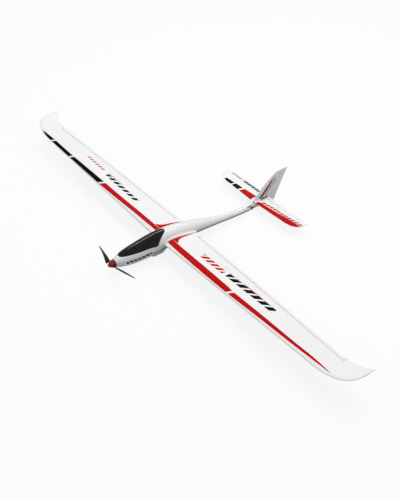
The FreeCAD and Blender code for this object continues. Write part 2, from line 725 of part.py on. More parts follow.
def make_shell(pod, whole_fin):
    """Pod, boom, fin and wing stubs in one moulding."""
    ahead = beside_rudder_hinge(-900, -dim.rud_gap_fwd)
    fin = whole_fin.common(ahead).common(block(-100, 100, 0, 900, -66, 334))
    shell = pod.common(ahead).fuse(fin)
    for side, _ in SIDES:
        shell = shell.fuse(wing_stub(side))
    shell = shell.cut(pod_loft(-dim.shell_wall, y_to=598.0))
    shell = shell.cut(rod((0, -246, dim.prop_z), Y_AXIS, dim.spinner_dia / 2 - 1.1, 6))
    shell = shell.cut(lid_prism(0))
    seat_top = FUSE_MAGNET_Z - MAGNET_FIT
    for side, _ in SIDES:
        shell = shell.fuse(magnet_seat(pod, side, 30, 43, seat_top - 3.4, seat_top))
    for cutter in shell_cutters():
        shell = shell.cut(cutter)
    keep("fuselage_shell", feature(solid_of(shell)))


def make_canopy(pod):
    hatch = solid_of(pod.cut(pod_loft(-dim.canopy_wall)).common(lid_prism(dim.canopy_gap)))
    seat_low = CANOPY_MAGNET_Z + dim.magnet_thick + MAGNET_FIT
    for side, _ in SIDES:
        hatch = hatch.fuse(magnet_seat(pod, side, 28, 42, seat_low, seat_low + 3.0))
    keep("canopy_hatch", feature(solid_of(hatch)))


def make_magnets():
    for label, z in (("fuselage_magnets", FUSE_MAGNET_Z), ("canopy_magnets", CANOPY_MAGNET_Z)):
        keep(label, group(*[cylinder((side * 33.2, MAGNET_Y, z), Z_AXIS,
                                     "Sizes.magnet_dia / 2", "Sizes.magnet_thick")
                            for side, _ in SIDES]))


def make_skid():
    """Moulded block following the pod's underside, its lower side edges rounded."""
    body = new_body("Skid")
    sketch = new_sketch(body, "YZ_Plane")
    outline(sketch, [(-52, -46), (-49, -64), (-41, -71.5), (-30, dim.skid_low),
                     (14, dim.skid_low), (24, -72), (33, -63), (38, -46)])
    pad(body, sketch, "2 * Sizes.skid_half", mid=True)
    low_edges = []
    for name in edge_names(body):
        edge = body.Shape.getElement(name)
        centre = edge.CenterOfMass
        on_side = abs(abs(centre.x) - dim.skid_half) < 0.01
        if on_side and centre.z < -60 and edge.BoundBox.YLength > 2:
            low_edges.append(name)
    dress(body, "Fillet", low_edges, "Sizes.skid_round")
    keep("belly_skid", cut(body, feature(pod_loft(0.15, -125.0, 110.0))))


# ---------------------------------------------------------------- motor
MOTOR_Y = -237.8            # front of the motor base
CAN_Y = MOTOR_Y + 5.6       # front of the rotor can
SHAFT_TIP_Y = -266.0
MOUNT_HOLES = [             # x, z
    (dim.mount_pcd / 2 * math.cos(math.pi / 2 * k),
     dim.prop_z + dim.mount_pcd / 2 * math.sin(math.pi / 2 * k)) for k in range(4)]


def on_shaft(y, radius, length):
    """Document cylinder on the motor axis, running aft from y."""
    return cylinder((0, y, dim.prop_z), Y_AXIS, radius, length)


def make_motor_mount():
    body = new_body("Mount")
    sketch = new_sketch(body)
    ring(sketch, 0, 0, dim.mount_dia, "Sizes.mount_dia")
    ring(sketch, 0, 0, dim.mount_bore, "Sizes.mount_bore")
    pad(body, sketch, "Sizes.mount_thick")
    sketch = new_sketch(body)
    ring(sketch, dim.mount_pcd / 2, 0, dim.mount_screw + 0.2, "Sizes.mount_screw + 0.2")
    hole = pocket(body, sketch)
    pattern = body.newObject("PartDesign::PolarPattern", "Polar")
    pattern.Originals = [hole]
    pattern.Axis = (origin_part(body, "Z_Axis"), [""])
    pattern.Angle = 360
    pattern.Occurrences = 4
    body.Tip = pattern
    body.Placement = Placement(V(0, MOTOR_Y - 0.1, dim.prop_z), Rotation(Z_AXIS, V(0, -1, 0)))
    keep("motor_mount", body)

    head_y = -243.0
    keep("motor_mount_screws", group(*[
        fuse(cylinder((x, head_y, z), Y_AXIS, 2.6, 1.95),
             cylinder((x, head_y, z), Y_AXIS, "Sizes.mount_screw / 2", 9.0))
        for x, z in MOUNT_HOLES]))


def make_motor():
    base = on_shaft(MOTOR_Y, "Sizes.motor_base_dia / 2", "Sizes.motor_base_len")
    windings = on_shaft(MOTOR_Y + 5, 10.5, 17)
    holes = [on_shaft(MOTOR_Y - 1, "Sizes.shaft_dia / 2 + 0.2", 40)]
    for x, z in MOUNT_HOLES:
        holes.append(cylinder((x, MOTOR_Y - 1, z), Y_AXIS, "Sizes.mount_screw / 2 + 0.05", 6.2))
    keep("motor_stator", cut(fuse(base, windings), *holes))

    can = cut(on_shaft(CAN_Y, "Sizes.motor_dia / 2", "Sizes.motor_can"),
              on_shaft(MOTOR_Y + 4, 11.6, 20.5))
    shaft = on_shaft(SHAFT_TIP_Y, "Sizes.shaft_dia / 2", CAN_Y + dim.motor_can - SHAFT_TIP_Y)
    keep("motor_rotor", fuse(can, shaft))


# ---------------------------------------------------------------- propeller
SPINNER_Y = -247.7          # open end of the spinner
# share of length, share of radius, inner face set back along the axis in wall thicknesses
SPINNER = [(0, 1, 0), (0.12, 0.985, 0), (0.27, 0.93, 0),
           (0.48, 0.80, 0.5), (0.70, 0.60, 1), (0.87, 0.38, 1.3)]
SPINNER_TIP = 0.985         # share of length
# radius from the shaft, chord, pitch in degrees, thickness, share of chord ahead of pitch line
BLADE = [
    (20.0, 8.5, 46.0, 3.8, 0.60), (30.0, 14.5, 38.0, 3.6, 0.62), (42.0, 21.5, 33.0, 3.4, 0.54),
    (58.0, 23.5, 28.5, 3.1, 0.46), (78.0, 21.0, 24.0, 2.7, 0.42), (100.0, 17.0, 20.0, 2.3, 0.42),
    (122.0, 12.0, 17.0, 1.8, 0.42), (138.0, 7.5, 15.0, 1.3, 0.42), (146.6, 3.6, 14.0, 1.0, 0.42)]


def make_yoke():
    """Spinner back plate, hub and the two forks, with the blade pins."""
    pin_x, pin_y, z = dim.prop_pin_x, dim.prop_pin_y, dim.prop_z
    gap = dim.fork_gap
    disc = on_shaft(SPINNER_Y + 0.1, "Sizes.spinner_dia / 2 - 0.3", "Sizes.yoke_disc")
    hub = on_shaft(-258.5, "Sizes.hub_dia / 2", 11.2)
    bar = box(-pin_x - 3.4, pin_y - 3.4, z - gap / 2 - 2.0, 2 * pin_x + 6.8, 6.8, gap + 4.0)
    tools = [on_shaft(-275, "Sizes.shaft_dia / 2 + 0.05", 60)]
    for side, _ in SIDES:
        tools += [
            box(side * (pin_x + 4.0) - 7.6, pin_y - 5, z - gap / 2, 15.2, 9.6, "Sizes.fork_gap"),
            cylinder((side * pin_x, pin_y, z - 8), Z_AXIS, "Sizes.pin_dia / 2 + 0.05", 16),
            # room for the folded blade
            box(10.6 if side > 0 else -24.0, -250.0, z - 11.0, 13.4, 10.0, 22.0)]
    keep("prop_yoke", cut(fuse(disc, hub, bar), *tools))
    keep("blade_pins", group(*[cylinder((side * pin_x, pin_y, z - 4.9), Z_AXIS,
                                        "Sizes.pin_dia / 2", 9.8) for side, _ in SIDES]))


def make_spinner():
    """Turned shell with two blade slots, and a screw in its tip."""
    radius, length, wall = dim.spinner_dia / 2, dim.spinner_len, dim.spinner_wall
    outside = [(radius * r, length * y) for y, r, _ in SPINNER]
    inside = [(radius * r - wall, length * y - wall * back) for y, r, back in SPINNER]
    tip = [(2.6, length * SPINNER_TIP), (2.6, length * 0.90)]
    body = new_body("Spinner")
    sketch = new_sketch(body)
    outline(sketch, outside + tip + inside[::-1])
    turn(body, sketch)
    sketch = new_sketch(body)
    rect(sketch, 0, 5.8, 60, 11.6)
    pocket(body, sketch, 12.4)
    body.Placement = Placement(V(0, SPINNER_Y, dim.prop_z), Rotation(Z_AXIS, 180))
    keep("spinner_cone", body)

    tip_y = SPINNER_Y - length * SPINNER_TIP
    head = on_shaft(tip_y - 1.6, 2.5, 1.5)
    shank = on_shaft(tip_y - 0.1, 1.2, SHAFT_TIP_Y - 0.5 - (tip_y - 0.1))
    keep("spinner_screw", fuse(head, shank))


def blade_shape():
    """Port blade about its pin: a bored boss, then a twisted, tapered aerofoil."""
    wires = []
    for x, chord, pitch, thick, share in BLADE:
        # leading edge up and forward
        up_part, fore_part = math.cos(math.radians(pitch)), -math.sin(math.radians(pitch))

        def place(along, up):
            q = share * chord - along
            return V(x - dim.prop_pin_x, q * fore_part - up * up_part,
                     q * up_part + up * fore_part)

        wires.append(section_wire(place, chord, thick / chord, 0.03, 0.5, 11))
    half = dim.boss_w / 2
    neck = block(0, 7.8, -2.3, 2.3, -half, half).fuse(
        rod((0, 0, -half), Z_AXIS, 3.0, dim.boss_w))
    blade = loft(wires).fuse(neck)
    return solid_of(blade.cut(rod((0, 0, -15), Z_AXIS, dim.pin_dia / 2 + 0.08, 30)))


def make_blades():
    """Two like blades, swept slightly aft at rest."""
    blade = blade_shape()
    pin_x, pin_y, z = dim.prop_pin_x, dim.prop_pin_y, dim.prop_z
    keep("port_blade", feature(blade, Placement(
        V(pin_x, pin_y, z), Rotation(Z_AXIS, dim.blade_sweep))))
    turned = Rotation(Z_AXIS, -dim.blade_sweep).multiply(Rotation(Y_AXIS, 180))
    keep("starboard_blade", feature(blade, Placement(V(-pin_x, pin_y, z), turned)))


# ---------------------------------------------------------------- equipment
def make_tray():
    body = new_body("Tray")
    sketch = new_sketch(body)
    rect(sketch, 0, 0, dim.tray_wide, dim.tray_len, "Sizes.tray_wide", "Sizes.tray_len")
    pad(body, sketch, "Sizes.tray_thick")
    sketch = new_sketch(body)
    for y in (-150, -118, -18, 18, 160):
        rect(sketch, 0, y, 16, 20)
    pocket(body, sketch)
    body.Placement = Placement(V(0, dim.tray_y + dim.tray_len / 2, dim.tray_z), Rotation())
    keep("equipment_tray", body)


def make_brick(label, prefix, y, z, kind, amount):
    """Box sized by the sheet's prefix_wide, _len and _tall, with every edge dressed."""
    body = new_body("Brick")
    sketch = new_sketch(body)
    wide, length = prefix + "_wide", prefix + "_len"
    rect(sketch, 0, 0, getattr(dim, wide), getattr(dim, length),
         "Sizes." + wide, "Sizes." + length)
    pad(body, sketch, "Sizes." + prefix + "_tall")
    dress(body, kind, edge_names(body), amount)
    body.Placement = Placement(V(0, y, z), Rotation())
    keep(label, body)


def make_strap():
    """Rectangular loop round the battery and the tray."""
    wide, tall = dim.batt_wide + 0.6, dim.batt_tall + 3.1
    centre_z = dim.batt_tall / 2 - 1.3
    body = new_body("Strap")
    sketch = new_sketch(body, "XZ_Plane")
    for wall in (dim.strap_thick, 0):
        rect(sketch, 0, centre_z, wide + 2 * wall, tall + 2 * wall)
    pad(body, sketch, "Sizes.strap_wide", mid=True)
    body.Placement = Placement(V(0, -112.0, TRAY_TOP), Rotation())
    keep("battery_strap", body)


def make_joiner():
    """Tube that joins the wing halves."""
    x, y, z = -dim.joiner_len / 2, dim.joiner_y, dim.joiner_z
    keep("wing_joiner_tube", cut(
        cylinder((x, y, z), X_AXIS, "Sizes.joiner_dia / 2", "Sizes.joiner_len"),
        cylinder((x - 5, y, z), X_AXIS, "Sizes.joiner_bore / 2", "Sizes.joiner_len + 10")))


def screw(start, axis, prefix, head_len, length):
    """Plain screw, head first, with its diameters from the sheet."""
    return fuse(cylinder(start, axis, "Sizes.%s_head / 2" % prefix, head_len),
                cylinder(start, axis, "Sizes.%s_dia / 2" % prefix, length))


def make_screws():
    """Wing screws driven from inside the pod, tailplane screws driven from below."""
    keep("wing_screws", group(*[
        screw((side * 33.4, dim.wing_screw_y, dim.wing_screw_z), X_AXIS * side,
              "wing_screw", 3.4, 25.0) for side, _ in SIDES]))
    keep("stabilizer_screws", group(*[
        screw((0, y, -50.2), Z_AXIS, "stab_screw", 2.0, 14.2) for y in STAB_SCREW_Y]))


def make_tail_wheel():
    """Turned wheel on a steel axle."""
    radius, half = dim.wheel_dia / 2, dim.wheel_wide / 2
    bore = dim.axle_dia / 2 + 0.1
    body = new_body("Wheel")
    sketch = new_sketch(body)
    outline(sketch, [
        (bore, -half), (radius - 2.4, -half), (radius - 1.4, -half + 0.5), (radius - 0.4, -1.2),
        (radius, 0.0),
        (radius - 0.4, 1.2), (radius - 1.4, half - 0.5), (radius - 2.4, half), (bore, half)])
    turn(body, sketch)
    body.Placement = Placement(V(0, dim.wheel_y, dim.wheel_z), Rotation(Y_AXIS, X_AXIS))
    keep("tail_wheel", body)
    keep("tail_wheel_axle", cylinder((-dim.axle_len / 2, dim.wheel_y, dim.wheel_z), X_AXIS,
                                     "Sizes.axle_dia / 2", "Sizes.axle_len"))


# ---------------------------------------------------------------- servos, arms, horns, pushrods
def make_servo(label, place, side, long_end=-1):
    """Servo with its output along local x towards side, its long end towards long_end in y."""
    drop, half = dim.servo_drop, dim.servo_wide / 2
    ear = (dim.ear_len - dim.servo_len) / 2
    if side > 0:
        case_x, ear_x = -drop - dim.servo_tall, -drop - dim.ear_drop - dim.ear_thick
    else:
        case_x, ear_x = drop, drop + dim.ear_drop
    y0 = dim.servo_end - dim.servo_len if long_end < 0 else -dim.servo_end
    case = box(case_x, y0, -half, "Sizes.servo_tall", "Sizes.servo_len", "Sizes.servo_wide")
    ears = box(ear_x, y0 - ear, -half, "Sizes.ear_thick", "Sizes.ear_len", "Sizes.servo_wide")
    boss = cylinder((-side * drop, 0, 0), X_AXIS * side, "Sizes.boss_r", "Sizes.boss_h")
    holes = [cylinder((ear_x - 3, y, 0), X_AXIS, 1.1, 8)
             for y in (y0 - ear + 2.2, y0 + dim.servo_len + ear - 2.2)]
    servo = cut(fuse(case, ears, boss), *holes)
    servo.Placement = place
    keep(label, servo)


def link_hole(body, reach, reach_expr=None):
    """Pushrod hole on local z at reach."""
    sketch = new_sketch(body, "YZ_Plane")
    ring(sketch, 0, reach, dim.link_hole, "Sizes.link_hole", reach_expr)
    pocket(body, sketch)


def make_arm(label, place, side, reach_name, up):
    """Servo arm along local z, upwards or downwards as up is 1 or -1."""
    reach = getattr(dim, reach_name)
    body = new_body("Arm")
    sketch = new_sketch(body, "YZ_Plane")
    ring(sketch, 0, 0, 2 * dim.arm_hub_r, "2 * Sizes.arm_hub_r")
    pad(body, sketch, 2.2, reverse=(side < 0))
    root = dim.arm_wide / 2
    tip = root * 0.72
    # half width and distance out along the arm
    half_outline = [(root, 0), (tip, reach + 1.6), (tip * 0.45, reach + 2.6)]
    sketch = new_sketch(body, "YZ_Plane")
    outline(sketch, [(-up * root, 0)] + [(up * y, up * z) for y, z in half_outline]
            + [(-up * y, up * z) for y, z in half_outline[:0:-1]])
    pad(body, sketch, "Sizes.arm_thick", reverse=(side < 0))
    # the reach is bound only where it is positive
    link_hole(body, up * reach, "Sizes." + reach_name if up > 0 else None)
    body.Placement = place
    keep(label, body)


def make_horn(label, place, side, corners, reach):
    """Control horn with its link hole on local z at reach."""
    body = new_body("Horn")
    sketch = new_sketch(body, "YZ_Plane")
    outline(sketch, corners)
    pad(body, sketch, "Sizes.arm_thick", reverse=(side < 0))
    link_hole(body, reach)
    body.Placement = place
    keep(label, body)


def tail_horn_outline(front, back, base, back_top, front_top, reach):
    return [(front, base), (back, base), (back, back_top), (2.0, reach + 1.9),
            (-2.0, reach + 1.9), (-2.0, reach - 0.9), (front, front_top)]


def wire_solid(points, knuckle=1.0):
    """Bent wire through points, with balls of knuckle times its radius at the bends."""
    radius = dim.wire_dia / 2
    wire = None
    for start, end in zip(points, points[1:]):
        piece = rod(start, end - start, radius, (end - start).Length)
        wire = piece if wire is None else wire.fuse(piece)
    for point in points[1:-1]:
        wire = wire.fuse(Part.makeSphere(radius * knuckle, point))
    return solid_of(wire)


def make_wing_linkage(which, side, tag):
    """Servo on its side in the wing, its arm and horn hanging below."""
    horn_place, servo_place = link_frames(which, side)
    ahead, reach = LINKS[which][1], dim.arm_r
    name = tag + "_" + which
    make_servo(name + "_servo", servo_place, side)
    make_arm(name + "_servo_arm", servo_place, side, "arm_r", -1)
    make_horn(name + "_horn", horn_place, side, wing_horn_outline(which), -reach)
    points = [V(-side * 1.0, -ahead, -reach), V(side * 3.2, -ahead, -reach),
              V(side * 3.2, 0, -reach), V(-side * 1.0, 0, -reach)]
    keep(name + "_pushrod", feature(wire_solid(points), horn_place))


def make_elevator_linkage():
    """Servo on the tray, arm and horn both standing up."""
    reach = dim.elev_arm_r
    servo_point = V(5.0, 101.0, TRAY_TOP + dim.servo_wide / 2)
    horn_point = V(ELEV_HORN_X, dim.stab_hinge_y, dim.stab_z)
    servo_place = Placement(servo_point, Rotation())
    make_servo("elevator_servo", servo_place, 1)
    make_arm("elevator_servo_arm", servo_place, 1, "elev_arm_r", 1)
    make_horn("elevator_horn", Placement(horn_point, Rotation()), 1,
              tail_horn_outline(2.6, 11.2, 0.1, 3.4, 4.6, reach), reach)
    arm_end = servo_point + V(0, 0, reach)
    horn_end = horn_point + V(0, 0, reach)
    points = [
        arm_end - X_AXIS, arm_end + X_AXIS * 3.4,
        V(6.6, 320, -37.0), V(6.2, 470, -53.5), V(8.6, 532, -49.5), V(13.0, 584, -24.6),
        V(horn_end.x + 3.4, 606, horn_end.z), horn_end + X_AXIS * 3.4, horn_end - X_AXIS]
    keep("elevator_pushrod", feature(wire_solid(points)))


def make_rudder_linkage():
    """Servo axis parallel to the leaning rudder hinge, arm and horn to starboard."""
    reach = dim.rud_arm_r
    servo_point = V(-2.0, 156.0, -10.0)
    servo_place = frame(servo_point, RUDDER_UP, RUDDER_AFT)
    make_servo("rudder_servo", servo_place, 1, 1)
    make_arm("rudder_servo_arm", servo_place, 1, "rud_arm_r", 1)
    make_horn("rudder_horn", RUDDER_HORN_FRAME, 1,
              tail_horn_outline(2.8, 11.8, 0.2, 4.4, 6.0, reach), reach)
    arm_end = servo_point + V(-reach, 0, 0)
    horn_end = RUDDER_HORN_POINT + V(-reach, 0, 0)
    outer_end = horn_end + RUDDER_UP * 3.4
    points = [
        arm_end - RUDDER_UP, arm_end + RUDDER_UP * 3.0,
        V(-7.0, 320, -37.5), V(-6.2, 470, -56.0), V(-8.2, 556, -57.0),
        V(-13.5, 655, horn_end.z + 3.0),
        outer_end - RUDDER_AFT * 6.0, outer_end, horn_end - RUDDER_UP]
    keep("rudder_pushrod", feature(wire_solid(points, 1.03)))


# ---------------------------------------------------------------- build
for side, tag in SIDES:
    make_wing(side, tag)
    make_root_rib(side, tag)
make_tailplane()
whole_fin = fin_loft()
make_rudder(whole_fin)
pod = pod_loft(0.0)
make_shell(pod, whole_fin)
make_canopy(pod)
make_magnets()
make_skid()
make_motor_mount()
make_motor()
make_yoke()
make_spinner()
make_blades()
make_tray()
make_brick("battery", "batt", -127.0, TRAY_TOP, "Fillet", "Sizes.batt_fillet")
make_strap()
make_brick("esc", "esc", -160.0, TRAY_TOP + dim.batt_tall + 2.4, "Chamfer", 1.0)
make_brick("receiver", "rx", -20.0, TRAY_TOP, "Fillet", 1.5)
make_joiner()
make_screws()
make_tail_wheel()
for side, tag in SIDES:
    for which in ("aileron", "flap"):
        make_wing_linkage(which, side, tag)
make_elevator_linkage()
make_rudder_linkage()

# ---------------------------------------------------------------- check, then write
doc.recompute()
failed = ["%s (%s)" % (obj.Name, obj.Label) for obj in doc.Objects
          if "Invalid" in getattr(obj, "State", []) or "Error" in getattr(obj, "State", [])]
assert not failed, "failed: " + ", ".join(failed)
bad = [label for label, obj in parts
       if obj.Shape.isNull() or not obj.Shape.isValid() or not obj.Shape.Solids]
assert not bad, "no valid shape: " + ", ".join(bad)
os.makedirs("parts", exist_ok=True)
TO_SKID = V(0, 7.0, -dim.skid_low)      # puts the origin on the skid's resting face
for label, obj in parts:
    shape = obj.Shape.copy()
    shape.translate(TO_SKID)
    shape.exportStep("parts/%s.step" % label)
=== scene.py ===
# Electric thermal sailplane: looks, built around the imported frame.
# The nose points along -Y, the left wing along +X and up is +Z.
# Shapes and textures are in millimetres from the wing root's leading edge on the centre plane.
# The stage, lights and camera are in metres in the frame.
import bpy
import bmesh
import json
import math
from functools import cached_property, reduce
from mathutils import Matrix, Vector


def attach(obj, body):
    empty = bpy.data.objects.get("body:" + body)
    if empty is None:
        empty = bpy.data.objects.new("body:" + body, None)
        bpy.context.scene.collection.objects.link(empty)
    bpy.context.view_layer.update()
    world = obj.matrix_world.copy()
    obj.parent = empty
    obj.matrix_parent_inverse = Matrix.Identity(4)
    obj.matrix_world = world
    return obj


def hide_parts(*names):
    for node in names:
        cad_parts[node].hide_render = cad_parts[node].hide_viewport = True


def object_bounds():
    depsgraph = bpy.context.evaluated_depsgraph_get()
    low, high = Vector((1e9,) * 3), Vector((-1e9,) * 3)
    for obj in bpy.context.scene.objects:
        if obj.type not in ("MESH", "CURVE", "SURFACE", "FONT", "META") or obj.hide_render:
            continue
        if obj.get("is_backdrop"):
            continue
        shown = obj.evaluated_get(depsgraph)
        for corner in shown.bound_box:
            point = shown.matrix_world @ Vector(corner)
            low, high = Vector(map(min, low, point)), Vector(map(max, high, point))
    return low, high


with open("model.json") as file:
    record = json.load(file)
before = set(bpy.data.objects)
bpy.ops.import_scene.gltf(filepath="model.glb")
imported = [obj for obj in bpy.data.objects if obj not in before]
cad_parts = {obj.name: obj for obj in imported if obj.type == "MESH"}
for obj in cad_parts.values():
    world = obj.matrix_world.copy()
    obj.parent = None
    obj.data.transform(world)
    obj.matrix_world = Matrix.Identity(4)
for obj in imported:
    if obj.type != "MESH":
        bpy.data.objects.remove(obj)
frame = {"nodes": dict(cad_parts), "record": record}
NODES = frame["nodes"]
bounds_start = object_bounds()
scene = bpy.context.scene
MM = 0.001
# The wing root seen from the frame's origin, which is the skid's resting face.
REST = Vector((0.0, 7.0, 76.0))


# ------------------------------------------------------------------ curves and sections
def monotone(points, x):
    """Cubic through (x, value) points that never overshoots them; held beyond the ends."""
    xs, ys = zip(*points)
    if x <= xs[0]:
        return ys[0]
    if x >= xs[-1]:
        return ys[-1]
    k = max(i for i in range(len(xs) - 1) if xs[i] <= x)
    rises = [(ys[i + 1] - ys[i]) / (xs[i + 1] - xs[i]) for i in range(len(xs) - 1)]

    def slope(i):
        if i == 0:
            return rises[0]
        if i == len(xs) - 1:
            return rises[-1]
        before, after = rises[i - 1], rises[i]
        return 0.0 if before * after <= 0 else 2 * before * after / (before + after)

    step = xs[k + 1] - xs[k]
    t = (x - xs[k]) / step
    return (ys[k] * (1 + 2 * t) * (1 - t) ** 2 + slope(k) * step * t * (1 - t) ** 2
            + ys[k + 1] * t * t * (3 - 2 * t) + slope(k + 1) * step * t * t * (t - 1))


def natural_spline(xs, ys):
    """Function for the natural cubic spline through the points; held beyond the ends."""
    count = len(xs)
    below, diagonal, above, target = [0.0] * count, [1.0] * count, [0.0] * count, [0.0] * count
    for i in range(1, count - 1):
        before, after = xs[i] - xs[i - 1], xs[i + 1] - xs[i]
        below[i], diagonal[i], above[i] = before, 2 * (before + after), after
        target[i] = 6 * ((ys[i + 1] - ys[i]) / after - (ys[i] - ys[i - 1]) / before)
    for i in range(1, count):
        share = below[i] / diagonal[i - 1]
        diagonal[i] -= share * above[i - 1]
        target[i] -= share * target[i - 1]
    bend = [0.0] * count
    for i in range(count - 2, 0, -1):
        bend[i] = (target[i] - above[i] * bend[i + 1]) / diagonal[i]

    def value(x):
        x = min(xs[-1], max(xs[0], x))
        k = 0
        while k < count - 2 and xs[k + 1] < x:
            k += 1
        step = xs[k + 1] - xs[k]
        t = (x - xs[k]) / step
        u = 1 - t
        return (ys[k] * u + ys[k + 1] * t
                + step * step / 6 * ((u ** 3 - u) * bend[k] + (t ** 3 - t) * bend[k + 1]))

    return value


def airfoil(along, thick, camber):
    """Upper and lower height of a NACA four-digit section, all as shares of the chord."""
    along = min(1.0, max(0.0, along))
    half = 5 * thick * (0.2969 * math.sqrt(along) - 0.1260 * along - 0.3516 * along ** 2
                        + 0.2843 * along ** 3 - 0.1036 * along ** 4)
    peak = 0.4      # place of the greatest camber
    if along < peak:
        middle = camber / peak ** 2 * (2 * peak * along - along ** 2)
    else:
        middle = camber / (1 - peak) ** 2 * (1 - 2 * peak + 2 * peak * along - along ** 2)
    return middle + half, middle - half


def linear(first, last, count):
    return [first + (last - first) * i / (count - 1) for i in range(count)]


def circle(count):
    return [2 * math.pi * k / count for k in range(count)]


def squared(value, power):
    """A sine or cosine pushed outward, which squares up a circle."""
    return math.copysign(abs(value) ** power, value)


# Fuselage pod and boom: y, height of centre, half width, half height
POD = [
    (-243.0, -11.0, 19.5, 19.5), (-228.0, -10.5, 25.0, 26.5), (-205.0, -9.5, 31.0, 34.0),
    (-170.0, -9.0, 36.0, 42.0), (-125.0, -7.5, 40.0, 47.5), (-75.0, -5.0, 42.5, 51.5),
    (-20.0, -1.5, 43.5, 53.5), (45.0, -1.0, 42.5, 51.0), (110.0, -4.0, 39.5, 45.5),
    (170.0, -9.5, 35.5, 38.5), (228.0, -18.5, 30.0, 31.5), (290.0, -30.5, 24.0, 25.0),
    (345.0, -40.0, 19.8, 20.3), (400.0, -48.0, 17.0, 17.4), (470.0, -55.5, 15.3, 15.6),
    (560.0, -56.0, 14.6, 16.8), (620.0, -55.0, 10.8, 18.2), (660.0, -55.5, 7.4, 19.5),
    (702.0, -56.5, 4.2, 20.5)]
POD_EXPONENT = 2.15     # superellipse power of the cross-section
pod_stations, *pod_columns = zip(*POD)
pod_centre, pod_half_width, pod_half_height = (
    natural_spline(pod_stations, column) for column in pod_columns)


def pod_x(y, z):
    """Half width of the pod at height z."""
    rise = abs((z - pod_centre(y)) / pod_half_height(y))
    left_over = 1 - rise ** POD_EXPONENT
    return pod_half_width(y) * left_over ** (1 / POD_EXPONENT) if left_over > 0 else 0.0


# ------------------------------------------------------------------ mesh helpers
WELD = 2e-6             # metres
DEGENERATE = 1e-7       # metres


class Grid:
    """Collects patches of quads and their end caps."""

    def __init__(self):
        self.verts, self.faces = [], []

    def patch(self, rows, closed=False):
        """Join rows of points; closed also joins the end of each row to its start."""
        base = len(self.verts)
        count = len(rows[0])
        for row in rows:
            self.verts.extend(row)
        for i in range(len(rows) - 1):
            here, there = base + i * count, base + (i + 1) * count
            for j in range(count if closed else count - 1):
                k = (j + 1) % count
                self.faces.append((here + j, here + k, there + k, there + j))

    def fan(self, ring):
        base = len(self.verts)
        count = len(ring)
        self.verts.extend(ring)
        self.verts.append(sum(ring, Vector((0, 0, 0))) / count)
        for i in range(count):
            self.faces.append((base + i, base + (i + 1) % count, base + count))

    def tube(self, rings):
        """Closed rings with both ends capped."""
        self.patch(rings, closed=True)
        self.fan(list(rings[0]))
        self.fan(list(reversed(rings[-1])))


def smooth(mesh, angle):
    """Shade smooth, with edges sharper than the angle in degrees kept hard."""
    for polygon in mesh.polygons:
        polygon.use_smooth = True
    mesh.set_sharp_from_angle(angle=math.radians(angle))


def put(material, ob):
    ob.data.materials.clear()
    ob.data.materials.append(material)


def make(name, grid, body, material, angle, replaced=None):
    """Turn a grid into an object that rides on a body of the frame."""
    mesh = bpy.data.meshes.new(name)
    mesh.from_pydata([tuple((v + REST) * MM) for v in grid.verts], [], grid.faces)
    bm = bmesh.new()
    bm.from_mesh(mesh)
    bmesh.ops.remove_doubles(bm, verts=bm.verts, dist=WELD)
    bmesh.ops.dissolve_degenerate(bm, dist=DEGENERATE, edges=bm.edges)
    bmesh.ops.recalc_face_normals(bm, faces=bm.faces)
    bm.to_mesh(mesh)
    bm.free()
    smooth(mesh, angle)
    ob = bpy.data.objects.new(name, mesh)
    scene.collection.objects.link(ob)
    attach(ob, body)
    if replaced:
        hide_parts(replaced)
    put(material, ob)


# ------------------------------------------------------------------ shader helpers
def feed(node, inputs):
    """Link or set a node's inputs; colours are given as three numbers."""
    for key, value in inputs.items():
        target = node.inputs[key]
        if isinstance(value, Sock):
            value = value.socket
        if isinstance(value, bpy.types.NodeSocket):
            node.id_data.links.new(value, target)
        elif target.type == "RGBA":
            target.default_value = (*value, 1.0)
        else:
            target.default_value = value


def add_node(tree, kind, inputs=None, **settings):
    node = tree.nodes.new("ShaderNode" + kind)
    for key, value in settings.items():
        setattr(node, key, value)
    feed(node, inputs or {})
    return node


def clear_nodes(owner):
    owner.use_nodes = True
    owner.node_tree.nodes.clear()
    return owner.node_tree


class Sock:
    """A node output that can be used in arithmetic; every operation adds a node."""

    def __init__(self, socket):
        self.socket = socket
        self.tree = socket.id_data

    def math(self, operation, *others):
        inputs = dict(enumerate((self,) + others))
        return Sock(add_node(self.tree, "Math", inputs, operation=operation).outputs[0])

    def __add__(self, other):
        return self.math("ADD", other)

    def __sub__(self, other):
        return self.math("SUBTRACT", other)

    def __mul__(self, other):
        return self.math("MULTIPLY", other)

    def __neg__(self):
        return self * -1.0

    def __rsub__(self, other):
        return -self + other

    def min(self, other):
        return self.math("MINIMUM", other)

    def max(self, other):
        return self.math("MAXIMUM", other)

    def abs(self):
        return self.math("ABSOLUTE")

    def mod(self, other):
        return self.math("FLOORED_MODULO", other)

    def clamp(self):
        return Sock(add_node(self.tree, "Clamp", {0: self}).outputs[0])

    def step(self, soft):
        """1 where positive, with an edge soft mm wide."""
        return (self * (1.0 / soft) + 0.5).clamp()


